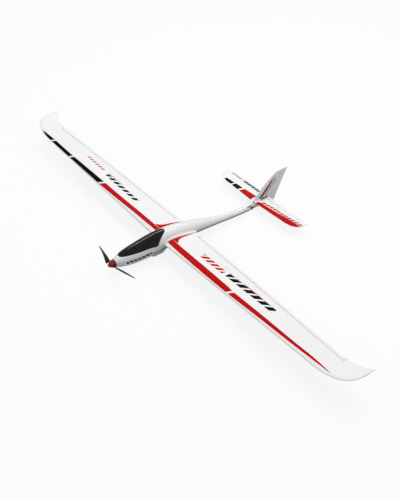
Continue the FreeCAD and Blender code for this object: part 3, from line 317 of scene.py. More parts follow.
class Mat:
    """Principled material whose textures are laid out in millimetres from the wing root."""

    def __init__(self, name):
        self.material = bpy.data.materials.new(name)
        self.tree = clear_nodes(self.material)
        self.bsdf = self.add("BsdfPrincipled")
        self.add("OutputMaterial", {0: self.bsdf.outputs[0]})
        self.coords = self.add("TexCoord").outputs
        scaled = self.add("VectorMath", {0: self.coords["Object"], 3: 1 / MM}, operation="SCALE")
        shifted = self.add("VectorMath", {0: scaled.outputs[0], 1: REST}, operation="SUBTRACT")
        self.vector = shifted.outputs[0]
        self.bumped = None

    def add(self, kind, inputs=None, **settings):
        return add_node(self.tree, kind, inputs, **settings)

    def split(self, vector):
        return [Sock(output) for output in self.add("SeparateXYZ", {0: vector}).outputs]

    @cached_property
    def place(self):
        """x, y and z of the shaded point."""
        return self.split(self.vector)

    @cached_property
    def facing(self):
        """x, y and z of its normal."""
        return self.split(self.coords["Normal"])

    def noise(self, scale, detail=2.0, rough=0.5, stretch=None):
        vector = self.vector
        if stretch is not None:
            vector = self.add("VectorMath", {0: vector, 1: stretch},
                              operation="MULTIPLY").outputs[0]
        node = self.add("TexNoise", {
            "Vector": vector, "Scale": scale, "Detail": detail, "Roughness": rough})
        return Sock(node.outputs["Fac"])

    def voronoi(self, scale, feature="F1"):
        node = self.add("TexVoronoi", {"Vector": self.vector, "Scale": scale}, feature=feature)
        return Sock(node.outputs["Distance"])

    def mix(self, colour, other, amount):
        node = self.add("Mix", {0: amount, 6: colour, 7: other}, data_type="RGBA")
        return Sock(node.outputs[2])

    def layer(self, colour, layers):
        """Lay (mask, colour, edge width) over a colour; returns the colour and the cover."""
        cover = None
        for mask, paint, soft in layers:
            amount = mask.step(soft)
            colour = self.mix(colour, paint, amount)
            cover = amount if cover is None else cover.max(amount)
        return colour, cover

    def finish(self, colour, roughness, **others):
        """Set the shader's inputs; an underscore in a name stands for a space."""
        feed(self.bsdf, {"Base Color": colour, "Roughness": roughness})
        feed(self.bsdf, {name.replace("_", " "): value for name, value in others.items()})

    def bump(self, height, strength, depth):
        """Add a bump on top of those before it; depth in mm."""
        node = self.add("Bump", {"Strength": strength, "Distance": depth * MM, "Height": height})
        if self.bumped is not None:
            feed(node, {"Normal": self.bumped})
        self.bumped = node.outputs[0]
        feed(self.bsdf, {"Normal": self.bumped})


# Masks are signed distances in mm, positive inside the shape.
def overlap(*masks):
    return reduce(Sock.min, masks)


def curve(source, points):
    """Straight lines through (source, value) points; held beyond the ends."""
    start, end = points[0][0], points[-1][0]
    values = [point[1] for point in points]
    low, height = min(values), max(values) - min(values)
    node = add_node(source.tree, "FloatCurve", {
        "Value": ((source - start) * (1.0 / (end - start))).clamp()})
    node.mapping.extend = "HORIZONTAL"
    knots = node.mapping.curves[0].points
    unit = [((at - start) / (end - start), (value - low) / height) for at, value in points]
    knots[0].location = unit[0]
    knots[1].location = unit[-1]
    for point in unit[1:-1]:
        knots.new(*point)
    for knot in knots:
        knot.handle_type = "VECTOR"
    node.mapping.update()
    return Sock(node.outputs[0]) * height + low


def polygon(u, v, corners):
    """Convex polygon in (u, v)."""
    pairs = list(zip(corners, corners[1:] + corners[:1]))
    if sum(p[0] * q[1] - q[0] * p[1] for p, q in pairs) < 0:
        corners = corners[::-1]
        pairs = list(zip(corners, corners[1:] + corners[:1]))
    edges = []
    for (u0, v0), (u1, v1) in pairs:
        length = math.hypot(u1 - u0, v1 - v0)
        a, b = -(v1 - v0) / length, (u1 - u0) / length
        edges.append(u * a + (v * b + -(a * u0 + b * v0)))
    return overlap(*edges)


def band(along, across, low, high):
    """Strip between two curves, over the length that both cover."""
    start, end = max(low[0][0], high[0][0]), min(low[-1][0], high[-1][0])
    return overlap(across - curve(along, low), curve(along, high) - across,
                   along - start, end - along)


def bars(u, v, u_range, v_range, pitch, duty, slant):
    """Run of slanted bars along u; duty is the painted share of the pitch."""
    phase = (u - v * slant).mod(pitch)
    return overlap(pitch * duty - phase, phase, v - v_range[0], v_range[1] - v,
                   u - u_range[0], u_range[1] - u)


# ------------------------------------------------------------------ painted graphics
RED = (0.50, 0.004, 0.005)
BLACK = (0.0035, 0.0035, 0.0035)
# Painted shade: a thin grey line standing in for the shadow in the hinge gap.
HINGE_SHADE_GREY = (0.20, 0.20, 0.20)
# Painted shade: short grey lines standing in for the shadow in the gaps at the ends of the
# moving surfaces.
GAP_SHADE_GREY = (0.24, 0.24, 0.24)
LINE_GREY = (0.35, 0.35, 0.35)

# Hinge line of the wing's moving surfaces: distance out, y
HINGE = [(88, 163.5), (500, 146.5), (1076, 112.5)]
GAP_PLACES = (88.3, 500.0, 1076.3)      # chordwise gaps at the ends of those surfaces

# Stripes along each wing, front and aft edges: distance out, y
LEFT_FRONT = [
    (50, 16.5), (90, 14.5), (150, 11.8), (250, 9.0), (350, 7.4), (420, 6.6), (500, 6.2),
    (640, 9.0), (730, 10.5), (830, 11.5), (940, 13.4), (1000, 15.4), (1045, 17.8), (1104, 17.9)]
LEFT_AFT = [
    (50, 45.5), (120, 42.2), (200, 40.4), (270, 39.4), (345, 37.4), (420, 35.2), (476, 33.2),
    (500, 29.6), (640, 29.2), (715, 29.0), (810, 27.6), (872, 26.6), (930, 26.6), (985, 27.0),
    (1037, 26.0), (1070, 23.0), (1104, 17.9)]
RIGHT_FRONT = [
    (50, 21.5), (90, 21.0), (136, 19.1), (217, 16.6), (297, 12.6), (380, 8.4), (520, 4.0),
    (800, 2.2), (985, 1.2), (1040, 2.6), (1076, 6.0), (1099, 12.0)]
RIGHT_AFT = [
    (50, 44.8), (100, 43.2), (165, 41.1), (246, 38.0), (328, 34.4), (412, 31.4), (492, 30.0),
    (520, 29.0), (600, 26.6), (700, 23.2), (787, 20.6), (800, 20.0), (900, 19.0), (987, 18.6),
    (1060, 16.4), (1099, 12.6)]

# Curved flash along each wing root, inner and outer edges: y, distance out
FLASH_INNER = [(45.5, 50.5), (56, 51.0), (66, 51.2), (80, 51.6), (95, 52.0), (120, 52.5),
               (172, 54.5)]
FLASH_OUTER = [(45.5, 90.0), (52, 86.0), (60, 76.0), (75, 67.5), (90, 64.5), (118, 62.0),
               (172, 56.0)]


def upper_side(m):
    """Positive where the surface faces up."""
    return m.facing[2] * 40.0 + 1.0


def wing_paint(m):
    x, y, _ = m.place
    left, right = x, -x
    top = upper_side(m)

    # The left stripe is red with one slanted break.
    break_lean = 0.74
    gap = (left - y * break_lean - 481.0).min(-(left - y * break_lean - 494.5))
    stripe = band(left, y, LEFT_FRONT, LEFT_AFT)
    layers = [(overlap(stripe, -gap, top), RED, 0.6)]

    # The right stripe is red inboard and black outboard, with three slanted breaks.
    def slit(start, lean=1.0, width=12.5):
        past = right + y * lean - start
        return past.min(width - past)

    inner_lean = 0.9
    stripe = band(right, y, RIGHT_FRONT, RIGHT_AFT)
    inboard = -(right + y * inner_lean - 523.0)
    outboard = overlap(right + y * inner_lean - 536.0, -slit(803.0), -slit(987.0))
    layers.append((overlap(stripe, inboard, top), RED, 0.6))
    layers.append((overlap(stripe, outboard, top), BLACK, 0.6))

    # Grey line along the hinge on the top: painted shade of the hinge gap.
    hinge = curve(x.abs(), HINGE)
    line = overlap(1.0 - (y - hinge).abs(), x.abs() - HINGE[0][0], HINGE[-1][0] - x.abs(), top)
    layers.append((line, HINGE_SHADE_GREY, 0.8))
    # Short grey lines at those ends: painted shade of the chordwise gaps.
    for place in GAP_PLACES:
        gap = overlap(0.8 - (x.abs() - place).abs(), y - hinge, top)
        layers.append((gap, GAP_SHADE_GREY, 0.8))

    for out in (left, right):
        layers.append((band(y, out, FLASH_INNER, FLASH_OUTER).min(top), RED, 0.5))

    # Plain slanted bars where the model carries its livery marks; the first run tapers.
    tapered = bars(left, y, (226, 384), (68, 98), pitch=34.0, duty=0.62, slant=0.85)
    taper = -y + curve(left, [(226, 98), (384, 94)])
    layers.append((overlap(tapered, top, taper), RED, 0.5))
    marks = [
        (bars(left, y, (404, 706), (70, 100), pitch=46.0, duty=0.70, slant=0.85), BLACK),
        (polygon(left, y, [(504, 104.6), (654, 100.5), (654, 97.6), (504, 101.2)]), RED),
        (polygon(left, y, [(330, 112.5), (500, 104.8), (500, 103.6), (330, 111.0)]), LINE_GREY),
        (bars(right, y, (286, 556), (66, 88), pitch=40.0, duty=0.62, slant=-0.85), BLACK),
        (bars(right, y, (600, 752), (78, 92), pitch=26.0, duty=0.55, slant=-0.85), RED),
        (polygon(right, y, [(442, 96.5), (566, 93.0), (566, 90.4), (442, 93.6)]), RED)]
    return layers + [(mark.min(top), colour, 0.5) for mark, colour in marks]


# Red patch on the left of the tail, front and aft edges: distance out, y
TAIL_FRONT = [
    (20, 580), (30, 576), (56, 573), (121, 571.5), (197, 572), (235, 576), (264, 580.5),
    (285, 586), (297, 598), (302, 614)]
TAIL_AFT = [
    (20, 594), (30, 599), (49, 600), (79, 602.5), (114, 606), (144, 609.5), (178, 614),
    (210, 618.5), (242, 621.5), (271, 624), (294, 625), (302, 615)]
# Line that the red bars behind that patch follow: distance out, y
TAIL_BARS = [
    (34, 607), (58, 611), (89, 616), (122, 619.5), (172, 622.5), (216, 627.5), (253, 631.5),
    (278, 634), (299, 635.5)]
TAIL_MARK_RED = (0.42, 0.03, 0.03)


def stab_paint(m):
    x, y, _ = m.place
    left, right = x, -x
    top = upper_side(m)
    # The v range is wide open, as the band does the trimming.
    run = bars(left, y, (36, 298), (0, 999), pitch=21.0, duty=0.72, slant=0.9)
    trim = band(left, y, [(out, mid - 7.6) for out, mid in TAIL_BARS],
                [(out, mid + 5.6) for out, mid in TAIL_BARS])
    marks = [
        (band(left, y, TAIL_FRONT, TAIL_AFT), RED),
        (run.min(trim), RED),
        (polygon(right, y, [(20, 579), (20, 618), (104, 612), (116, 581)]), RED),
        (polygon(right, y, [(118, 610), (129, 584), (178, 586), (169, 609)]), BLACK),
        (polygon(right, y, [(178, 607), (187, 587.5), (246, 587), (240, 604)]), BLACK),
        (bars(right, y, (182, 258), (653.5, 663.5), pitch=12.0, duty=0.66, slant=-0.8),
         TAIL_MARK_RED),
        (bars(right, y, (40, 166), (650.5, 666.5), pitch=19.0, duty=0.76, slant=-0.8), BLACK)]
    return [(mark.min(top), colour, 0.5) for mark, colour in marks]


# Slanted stripe up the fin, upper and lower edges: y, z
FIN_UPPER = [(610, -29), (619.4, -19.5), (643.3, 4.4), (666.9, 27.4), (690.3, 50.2), (722, 64)]
FIN_LOWER = [(610, -38), (630.5, -33), (644.6, -15.6), (668.3, 5.9), (687.1, 30.4),
             (705.4, 50.6), (722, 61)]
# The fin's red is darker than the wing's red: painted shade of the fin's shaded side.
SHADED_FIN_RED = (0.20, 0.002, 0.003)
FIN_BLACK = (0.008, 0.006, 0.006)
DASH_START = (655, -23.0)       # y, z
DASH_ALONG = (0.6895, 0.7243)   # direction of the dashed line in y, z
DASH_PITCH, DASH_LENGTH, DASH_HALF_WIDTH, DASH_RUN = 8.0, 6.0, 3.4, 96


def fin_paint(m):
    """Red stripe up the fin with a dashed black line beside it; the red is darkened as painted
    shade.
    """
    _, y, z = m.place
    dy, dz = DASH_ALONG
    along = y * dy + z * dz
    across = y * -dz + z * dy
    start = DASH_START[0] * dy + DASH_START[1] * dz
    middle = DASH_START[0] * -dz + DASH_START[1] * dy
    dash = (along - start).mod(DASH_PITCH)
    dashes = overlap(DASH_HALF_WIDTH - (across - middle).abs(), DASH_LENGTH - dash, dash,
                     along - start, (start + DASH_RUN) - along)
    return [(band(y, z, FIN_LOWER, FIN_UPPER), SHADED_FIN_RED, 0.5), (dashes, FIN_BLACK, 0.4)]


# Dark red line low on both sides of pod and boom: y, z, and y, half width
BOOM_LINE = [
    (-60, -23), (20, -24.0), (60, -25), (110, -25), (170, -25.3), (228, -31.4), (290, -40.8),
    (345, -48.3), (400, -55.1), (470, -61.9), (548, -62.7)]
BOOM_LINE_WIDTH = [(-60, 2.8), (60, 3.4), (170, 5.2), (345, 5.2), (545, 4.4)]
# Base line of the bars along the pod: y, z
POD_BARS = [(-205, -4.0), (-160, -7.0), (-130, -8.0), (-60, -6.5), (20, -10)]
BOOM_RED = (0.24, 0.006, 0.008)
POD_MARK_BLACK = (0.02, 0.02, 0.022)
POD_MARK_RED = (0.36, 0.012, 0.012)
OVAL_BLACK = (0.006, 0.006, 0.006)


def shell_paint(m):
    x, y, z = m.place
    line = curve(y, BOOM_LINE)
    boom_line = overlap(-(z - line).abs() + curve(y, BOOM_LINE_WIDTH), y + 58, 545 - y)

    outer_skin = m.facing[0] * x * 0.35 - 1.0
    rise = z - curve(y, POD_BARS)
    long_bars = bars(y, rise, (-199, -68), (-16.5, -1.5), pitch=21.0, duty=0.78, slant=-0.9)
    short_bars = bars(y, rise, (-70, -56), (-13.0, -8.0), pitch=7.5, duty=0.6, slant=-0.7)

    # Black oval on the left side of the boom
    oval_y, oval_z = (y - 560.0) * (1 / 10.5), (z + 55.0) * (1 / 6.5)
    oval = ((oval_y * oval_y + oval_z * oval_z) * -6.0 + 6.0).min(x - 1.0)

    layers = [(boom_line, BOOM_RED, 0.4), (long_bars.min(outer_skin), POD_MARK_BLACK, 0.4),
              (short_bars.min(outer_skin), POD_MARK_RED, 0.4), (oval, OVAL_BLACK, 0.4)]
    # The fin marks stop at the boom.
    return layers + [(mask.min(z + 41.0), colour, soft) for mask, colour, soft in fin_paint(m)]


# ------------------------------------------------------------------ materials
def foam(name, painter):
    """White bead foam with the painter's stickers, which are smoother, laid over it."""
    m = Mat(name)
    beads = m.voronoi(scale=0.30, feature="DISTANCE_TO_EDGE")
    cloud = m.noise(scale=0.012, detail=3.0)
    grain = m.noise(scale=0.8, rough=0.6)
    colour = m.mix((0.835, 0.835, 0.835), (0.875, 0.873, 0.868), cloud * 0.5 + grain * 0.2)
    # Bead outlines only just show in the colour.
    outline = (beads * -4.0 + 1.0).clamp()
    colour = m.mix(colour, (0.80, 0.80, 0.795), outline * 0.12)
    colour, cover = m.layer(colour, painter(m))
    bare_rough = m.noise(scale=0.05, detail=3.0, rough=0.6) * 0.10 + 0.40
    sticker_change = m.noise(scale=0.09) * 0.08 - 0.16
    m.finish(colour, bare_rough + cover * sticker_change,
             Specular_IOR_Level=cover * -0.11 + 0.13)
    m.bump((beads * 3.0).clamp(), strength=0.25, depth=0.05)
    m.bump(m.noise(scale=0.05), strength=0.35, depth=0.12)
    m.bump(cover, strength=0.6, depth=0.08)
    return m.material


def shell():
    m = Mat("fuselage_plastic")
    white = m.mix((0.80, 0.80, 0.80), (0.84, 0.84, 0.838), m.noise(scale=0.02, detail=3.0))
    colour, cover = m.layer(white, shell_paint(m))
    m.finish(colour, m.noise(scale=0.06, detail=3.0, rough=0.55) * 0.12 + 0.24,
             Specular_IOR_Level=0.5, Coat_Weight=0.25, Coat_Roughness=0.12)
    m.bump(m.noise(scale=0.04), strength=0.3, depth=0.15)
    m.bump(m.noise(scale=1.2, rough=0.6), strength=0.2, depth=0.012)
    m.bump(cover, strength=0.5, depth=0.06)
    return m.material


def canopy():
    m = Mat("canopy_gloss")
    cloud = m.noise(scale=0.03, detail=3.0)
    m.finish(m.mix((0.004, 0.004, 0.0045), (0.008, 0.008, 0.0085), cloud), cloud * 0.05 + 0.12,
             Specular_IOR_Level=0.46, Coat_Weight=0.0)
    m.bump(m.noise(scale=0.05), strength=0.20, depth=0.06)
    m.bump(m.noise(scale=1.5, rough=0.6), strength=0.12, depth=0.006)
    return m.material


def plastic(name, colour, rough, coat=0.0, depth=0.02, grain=0.9, vary=0.12, specular=0.5):
    """Moulded plastic: sheen between two roughnesses and a fine skin texture.

    depth is that of the skin texture in mm, grain its scale; vary is the colour's spread.
    """
    m = Mat(name)
    low, high = rough
    cloud = m.noise(scale=0.02, detail=3.0, rough=0.55)
    smudge = m.noise(scale=0.35)
    m.bump(m.noise(scale=grain, rough=0.6), strength=0.35, depth=depth)
    dark = tuple(c * (1 - vary) for c in colour)
    light = tuple(min(1, c * (1 + vary) + 0.002) for c in colour)
    m.finish(m.mix(dark, light, cloud * 0.6 + smudge * 0.4),
             (cloud * 0.7 + smudge * 0.3) * (high - low) + low,
             Coat_Weight=coat, Coat_Roughness=0.05, Specular_IOR_Level=specular)
    return m.material


def metal(name, colour, rough, stretch=(1.0, 1.0, 1.0), brush=0.5):
    """Brushed metal; the streaks run along the axis with the smallest stretch."""
    m = Mat(name)
    low, high = rough
    streak = m.noise(scale=1.0, detail=3.0, rough=0.6, stretch=stretch)
    m.finish(m.mix(tuple(c * 0.8 for c in colour), colour, streak),
             streak * (high - low) + low, Metallic=1.0)
    m.bump(streak, strength=brush, depth=0.02)
    return m.material


def carbon():
    m = Mat("carbon_tube")
    wave = m.add("TexWave", {"Scale": 0.6, "Vector": m.vector},
                 wave_type="BANDS", bands_direction="DIAGONAL")
    weave = Sock(wave.outputs["Fac"])
    m.finish(m.mix((0.012, 0.012, 0.013), (0.04, 0.04, 0.043), weave), weave * 0.15 + 0.25,
             Coat_Weight=0.5)
    m.bump(weave, strength=0.3, depth=0.05)
    return m.material


def plywood():
    m = Mat("plywood_tray")
    grain = m.noise(scale=0.25, detail=4.0, rough=0.6, stretch=(1.0, 0.06, 6.0))
    m.finish(m.mix((0.42, 0.27, 0.14), (0.66, 0.48, 0.28), grain), grain * 0.2 + 0.55)
    m.bump(grain, strength=0.5, depth=0.08)
    return m.material


def webbing():
    m = Mat("hook_and_loop_strap")
    loops = m.voronoi(scale=1.4)
    fuzz = m.noise(scale=0.9, detail=3.0, rough=0.6, stretch=(1.0, 1.0, 1.0))
    m.finish(m.mix((0.008, 0.008, 0.009), (0.035, 0.035, 0.037), loops * 0.6 + fuzz * 0.4), 0.9,
             Sheen_Weight=0.4)
    m.bump(loops, strength=0.8, depth=0.3)
    return m.material


def battery_wrap():
    """Blue shrink wrap with one pale band round it."""
    m = Mat("battery_wrap")
    cloud = m.noise(scale=0.05, detail=3.0)
    blue = m.mix((0.012, 0.03, 0.13), (0.018, 0.045, 0.18), cloud)
    label = (6.0 - (m.place[1] + 150.0).abs()).step(soft=0.5)
    m.finish(m.mix(blue, (0.75, 0.75, 0.74), label), cloud * 0.15 + 0.22)
    m.bump(m.noise(scale=0.12, detail=3.0, rough=0.6), strength=0.5, depth=0.25)
    return m.material


def rubber():
    m = Mat("tyre_rubber")
    grain = m.noise(scale=1.2, detail=3.0, rough=0.6)
    m.finish(m.mix((0.010, 0.010, 0.010), (0.028, 0.027, 0.026), grain), grain * 0.15 + 0.6)
    m.bump(grain, strength=0.6, depth=0.06)
    return m.material


# Keyed by the frame's material slots, plus tail_foam, rudder_foam, blade and screw.
MATERIALS = {
    "foam_white": foam("wing_foam", wing_paint),
    "tail_foam": foam("tail_foam", stab_paint),
    "rudder_foam": foam("rudder_foam", fin_paint),
    "shell_white": shell(),
    "canopy_black": canopy(),
    "spinner_red": plastic("spinner_red", (0.30, 0.012, 0.008), rough=(0.22, 0.30), coat=0.15,
                           depth=0.008, grain=1.5, vary=0.08, specular=0.35),
    "nylon_black": plastic("nylon_black", (0.012, 0.012, 0.013), rough=(0.34, 0.5), depth=0.03,
                           vary=0.25),
    "blade": plastic("blade_nylon", (0.007, 0.007, 0.008), rough=(0.30, 0.42), depth=0.015,
                     vary=0.25, specular=0.35),
    "nylon_white": plastic("nylon_white", (0.78, 0.78, 0.76), rough=(0.4, 0.5)),
    "steel": metal("steel_wire", (0.55, 0.55, 0.56), rough=(0.22, 0.36),
                   stretch=(0.05, 1.0, 1.0)),
    "screw": metal("screw_steel", (0.42, 0.42, 0.44), rough=(0.25, 0.4)),
    "motor_can": metal("motor_can", (0.10, 0.105, 0.115), rough=(0.3, 0.42),
                       stretch=(1.0, 0.08, 1.0)),
    "motor_base": metal("motor_base", (0.62, 0.62, 0.64), rough=(0.28, 0.42)),
    "magnet": metal("magnet_nickel", (0.72, 0.72, 0.74), rough=(0.12, 0.22), brush=0.15),
    "carbon": carbon(),
    "plywood": plywood(),
    "strap_web": webbing(),
    "battery_wrap": battery_wrap(),
    "tyre": rubber(),
    "esc_sleeve": plastic("esc_sleeve", (0.02, 0.03, 0.05), rough=(0.2, 0.32), coat=0.3,
                          depth=0.12, grain=0.12, vary=0.3),
    "receiver_case": plastic("receiver_case", (0.045, 0.045, 0.05), rough=(0.35, 0.5)),
    "servo_case": plastic("servo_case", (0.022, 0.022, 0.025), rough=(0.25, 0.4), coat=0.1)}

# Nodes that don't take the material of their slot
SPECIAL = {
    "tail_foam": ("stabilizer", "elevator"),
    "rudder_foam": ("rudder",),
    "blade": ("port_blade", "starboard_blade"),
    "screw": ("wing_screws", "motor_mount_screws", "spinner_screw", "stabilizer_screws",
              "blade_pins")}

slot_of = {part["node"]: part["material_slot"] for part in frame["record"]["subparts"]}
for node_name, ob in NODES.items():
    put(MATERIALS[slot_of[node_name]], ob)
    smooth(ob.data, angle=32)
for key, node_names in SPECIAL.items():
    for node_name in node_names:
        put(MATERIALS[key], NODES[node_name])


# ------------------------------------------------------------------ root fairings
# The pod flares out to meet each wing. The wing section is taken at FAIRING_X.
FAIRING_X = 48.0
WING_CHORD = 182.5 + (FAIRING_X - 88) * (163.5 - 182.5) / 412   # its trailing edge is straight
WING_Z = 5.0 + 0.0415 * (FAIRING_X - 60)                        # dihedral
WING_THICK, WING_CAMBER = 0.135, 0.025                          # shares of the chord
WING_DROP = 0.07                # fall from leading to trailing edge, share of the chord
WING_EDGE = 0.55                # half thickness of the trailing edge
FAIRING_LENGTH = 186.4
FAIRING_STATIONS = 34           # along each face of the wing
FAIRING_STEPS = 10              # from the wing in to the pod
# Reach of the flare over the pod: share of 187 mm aft, radius
FAIRING_RADIUS = [(0.0, 13.0), (0.25, 13.0), (0.75, 10.0), (1.0, 5.0)]
SKIN_LIFT = 0.12                # clearance over the wing and the pod


def wing_point(y, upper):
    share = min(1.0, max(0.0, y / WING_CHORD))
    high, low = airfoil(share, WING_THICK, WING_CAMBER)
    z = WING_Z - WING_DROP * share * WING_CHORD + WING_CHORD * (high if upper else low)
    z += (WING_EDGE if upper else -WING_EDGE) * share
    return Vector((FAIRING_X, share * WING_CHORD, z))


def root_fairing(side, name):
    last = FAIRING_STATIONS - 1
    stations = [FAIRING_LENGTH * (1 - math.cos(math.pi * i / last)) / 2
                for i in range(FAIRING_STATIONS)]
    # From the trailing edge forward over the top, then aft underneath
    outline = [wing_point(y, True) for y in reversed(stations)]
    outline += [wing_point(y, False) for y in stations[1:]]
    end = len(outline) - 1
    rows = []
    for i, point in enumerate(outline):
        before, after = outline[max(0, i - 1)], outline[min(end, i + 1)]
        along = Vector((0, after.y - before.y, after.z - before.z)).normalized()
        normal = Vector((0, -along.z, along.y))
        # Turned outward, except where the outline is steep at the leading edge
        if normal.z * (1 if i < last else -1) < 0 and abs(along.y) > 0.3:
            normal = -normal
        radius = monotone(FAIRING_RADIUS, point.y / 187.0)
        if i in (0, end):
            normal = (normal + Vector((0, 0.8, 0))).normalized()
        foot = Vector((0, point.y, point.z)) + normal * radius
        # Quadratic curve from the wing to the pod, pulled towards the corner between them
        on_wing = point + normal * SKIN_LIFT
        corner = Vector((pod_x(point.y, point.z) + 0.2, point.y, point.z)) + normal * SKIN_LIFT
        on_pod = Vector((pod_x(foot.y, foot.z) + SKIN_LIFT, foot.y, foot.z))
        row = []
        for u in linear(0, 1, FAIRING_STEPS):
            v = on_wing * (1 - u) ** 2 + corner * (2 * u * (1 - u)) + on_pod * u * u
            row.append(Vector((side * max(v.x, pod_x(v.y, v.z) + 0.1), v.y, v.z)))
        rows.append(row)
    # A small tail behind the trailing edge closes the ring.
    tail = []
    for k, u in enumerate(linear(0, 1, FAIRING_STEPS)):
        middle = (rows[0][k] + rows[-1][k]) * 0.5
        v = Vector((middle.x * (1 - 0.02 * u), 187.4 + 7.0 * u, middle.z))
        v.x = side * max(abs(v.x) if v.y < 190 else 0.0, pod_x(v.y, v.z) + 0.1)
        tail.append(v)
    grid = Grid()
    grid.patch([tail] + rows + [tail])
    make(name, grid, "airframe", MATERIALS["shell_white"], angle=50)


# ------------------------------------------------------------------ pushrod keeper
KEEPER_X, KEEPER_Z = 20.4, -22.0
# y, half width, half height
KEEPER = [(611.5, 0.9, 0.9), (612.0, 1.8, 2.0), (615.0, 2.2, 3.0), (636.0, 2.2, 3.3),
          (641.5, 1.8, 2.6), (642.0, 0.9, 0.9)]


def keeper():
    """Black plastic keeper round the aft end of the elevator pushrod."""
    grid = Grid()
    grid.tube([[Vector((KEEPER_X + half_width * squared(math.cos(t), 0.7), y,
                        KEEPER_Z + half_height * squared(math.sin(t), 0.7)))
                for t in circle(20)]
               for y, half_width, half_height in KEEPER])
    make("pushrod_keeper", grid, "elevator_rod", MATERIALS["nylon_black"], angle=38)


# ------------------------------------------------------------------ propeller blades
# Thin twisted aerofoils with a square-shouldered root, each on its own pin
PIN_X, PIN_Y, PROP_Z = 13.5, -252.5, -11.0
BLADE_SWEEP = math.radians(9.0)
BLADE_CAMBER = 0.03
BLADE_EDGE = 0.2            # added to each face
STARBOARD_LEAN = 7.5        # how far forward the starboard blade's tip leans
# radius, chord, pitch in degrees, thickness, share of the chord before the axis, forward shift
BLADE = [
    (19.0, 7.0, 32.0, 5.2, 0.50, 0.5), (23.5, 8.5, 33.0, 5.0, 0.50, 3.0),
    (27.0, 21.0, 34.0, 4.6, 0.60, 5.6), (31.0, 28.0, 33.0, 4.8, 0.62, 7.0),
    (40.0, 29.0, 29.5, 4.5, 0.58, 6.6), (56.0, 26.5, 24.0, 4.0, 0.54, 4.6),
    (78.0, 21.5, 18.5, 3.4, 0.50, 1.8), (100.0, 16.0, 14.5, 2.8, 0.46, -1.0),
    (122.0, 10.8, 12.5, 2.1, 0.44, -3.4), (138.0, 6.6, 11.0, 1.6, 0.44, -4.8),
    (146.0, 3.2, 12.0, 1.0, 0.44, -5.4)]
BLADE_ROOT, BLADE_TIP = BLADE[0][0], BLADE[-1][0]
BLADE_RADII = ([19.0, 21.0, 23.5, 25.2, 27.0, 29.0, 31.0, 35.0] + linear(40.0, 138.0, 20)
               + [141.0, 144.0, 146.0])
CHORD_STATIONS = [0.5 * (1 - math.cos(math.pi * i / 14)) for i in range(15)]
# Boss on the pin: height, radius
BOSS = [(-2.8, 2.6), (-2.5, 3.0), (2.5, 3.0), (2.8, 2.6)]
# Neck from boss to blade: radius, half depth in y, half height in z, forward shift
NECK = [(PIN_X, 2.3, 2.5, 0.0), (17.0, 2.4, 2.6, 0.2), (20.0, 2.6, 3.0, 0.9),
        (24.5, 2.6, 3.4, 2.4)]


def blade(node, side, lean):
    def place(radius, y, z):
        """Sweep a point about the pin and put it on the blade's side of the hub."""
        x = radius - PIN_X
        swept_x = x * math.cos(BLADE_SWEEP) - y * math.sin(BLADE_SWEEP) + PIN_X
        swept_y = x * math.sin(BLADE_SWEEP) + y * math.cos(BLADE_SWEEP) + PIN_Y
        return Vector((side * swept_x, swept_y, PROP_Z + side * z))

    rings = []
    for radius in BLADE_RADII:
        chord, pitch, thick, lead, forward = (
            monotone([(row[0], row[k]) for row in BLADE], radius) for k in range(1, 6))
        angle = math.radians(pitch)
        shift = -forward - lean * (radius - BLADE_ROOT) / (BLADE_TIP - BLADE_ROOT)
        ring = []
        for upper, shares in ((True, CHORD_STATIONS[::-1]), (False, CHORD_STATIONS[1:-1])):
            for share in shares:
                high, low = airfoil(share, thick / chord, BLADE_CAMBER)
                height = high * chord + BLADE_EDGE if upper else low * chord - BLADE_EDGE
                ahead = (lead - share) * chord
                y = shift - ahead * math.sin(angle) - height * math.cos(angle)
                z = ahead * math.cos(angle) - height * math.sin(angle)
                ring.append(place(radius, y, z))
        rings.append(ring)

    boss = [[Vector((side * (PIN_X + radius * math.cos(t)), PIN_Y + radius * math.sin(t),
                     PROP_Z + z)) for t in circle(24)]
            for z, radius in BOSS]
    neck = [[place(radius, -forward + half_depth * squared(math.cos(t), 0.6),
                   half_height * squared(math.sin(t), 0.6)) for t in circle(16)]
            for radius, half_depth, half_height, forward in NECK]

    grid = Grid()
    for part in (rings, boss, neck):
        grid.tube(part)
    make(node + "_moulding", grid, node, MATERIALS["blade"], angle=50, replaced=node)


root_fairing(1, "left_root_fairing")
root_fairing(-1, "right_root_fairing")
keeper()
blade("port_blade", side=1, lean=0.0)
blade("starboard_blade", side=-1, lean=STARBOARD_LEAN)


# ------------------------------------------------------------------ stage
FLOOR_HALF = 30.0
FLOOR_DROP = 0.0003                 # just under the skid
FLOOR_TILT = -0.0047 / 0.579        # skid and tail wheel both stand on it


def stage_material():
    """Pale and partly self-lit to the camera, mid grey to every other ray."""
    material = bpy.data.materials.new("pale_floor")
    tree = clear_nodes(material)
    glow = add_node(tree, "Emission", {0: (1, 1, 1), 1: 0.855})
    shade = add_node(tree, "BsdfDiffuse", {0: (0.12, 0.12, 0.12)})
    seen = add_node(tree, "AddShader", {0: glow.outputs[0], 1: shade.outputs[0]})
    unseen = add_node(tree, "BsdfDiffuse", {0: (0.42, 0.42, 0.42)})
    ray = add_node(tree, "LightPath")
    mix = add_node(tree, "MixShader", {
        0: ray.outputs["Is Camera Ray"], 1: unseen.outputs[0], 2: seen.outputs[0]})
    add_node(tree, "OutputMaterial", {0: mix.outputs[0]})
    return material


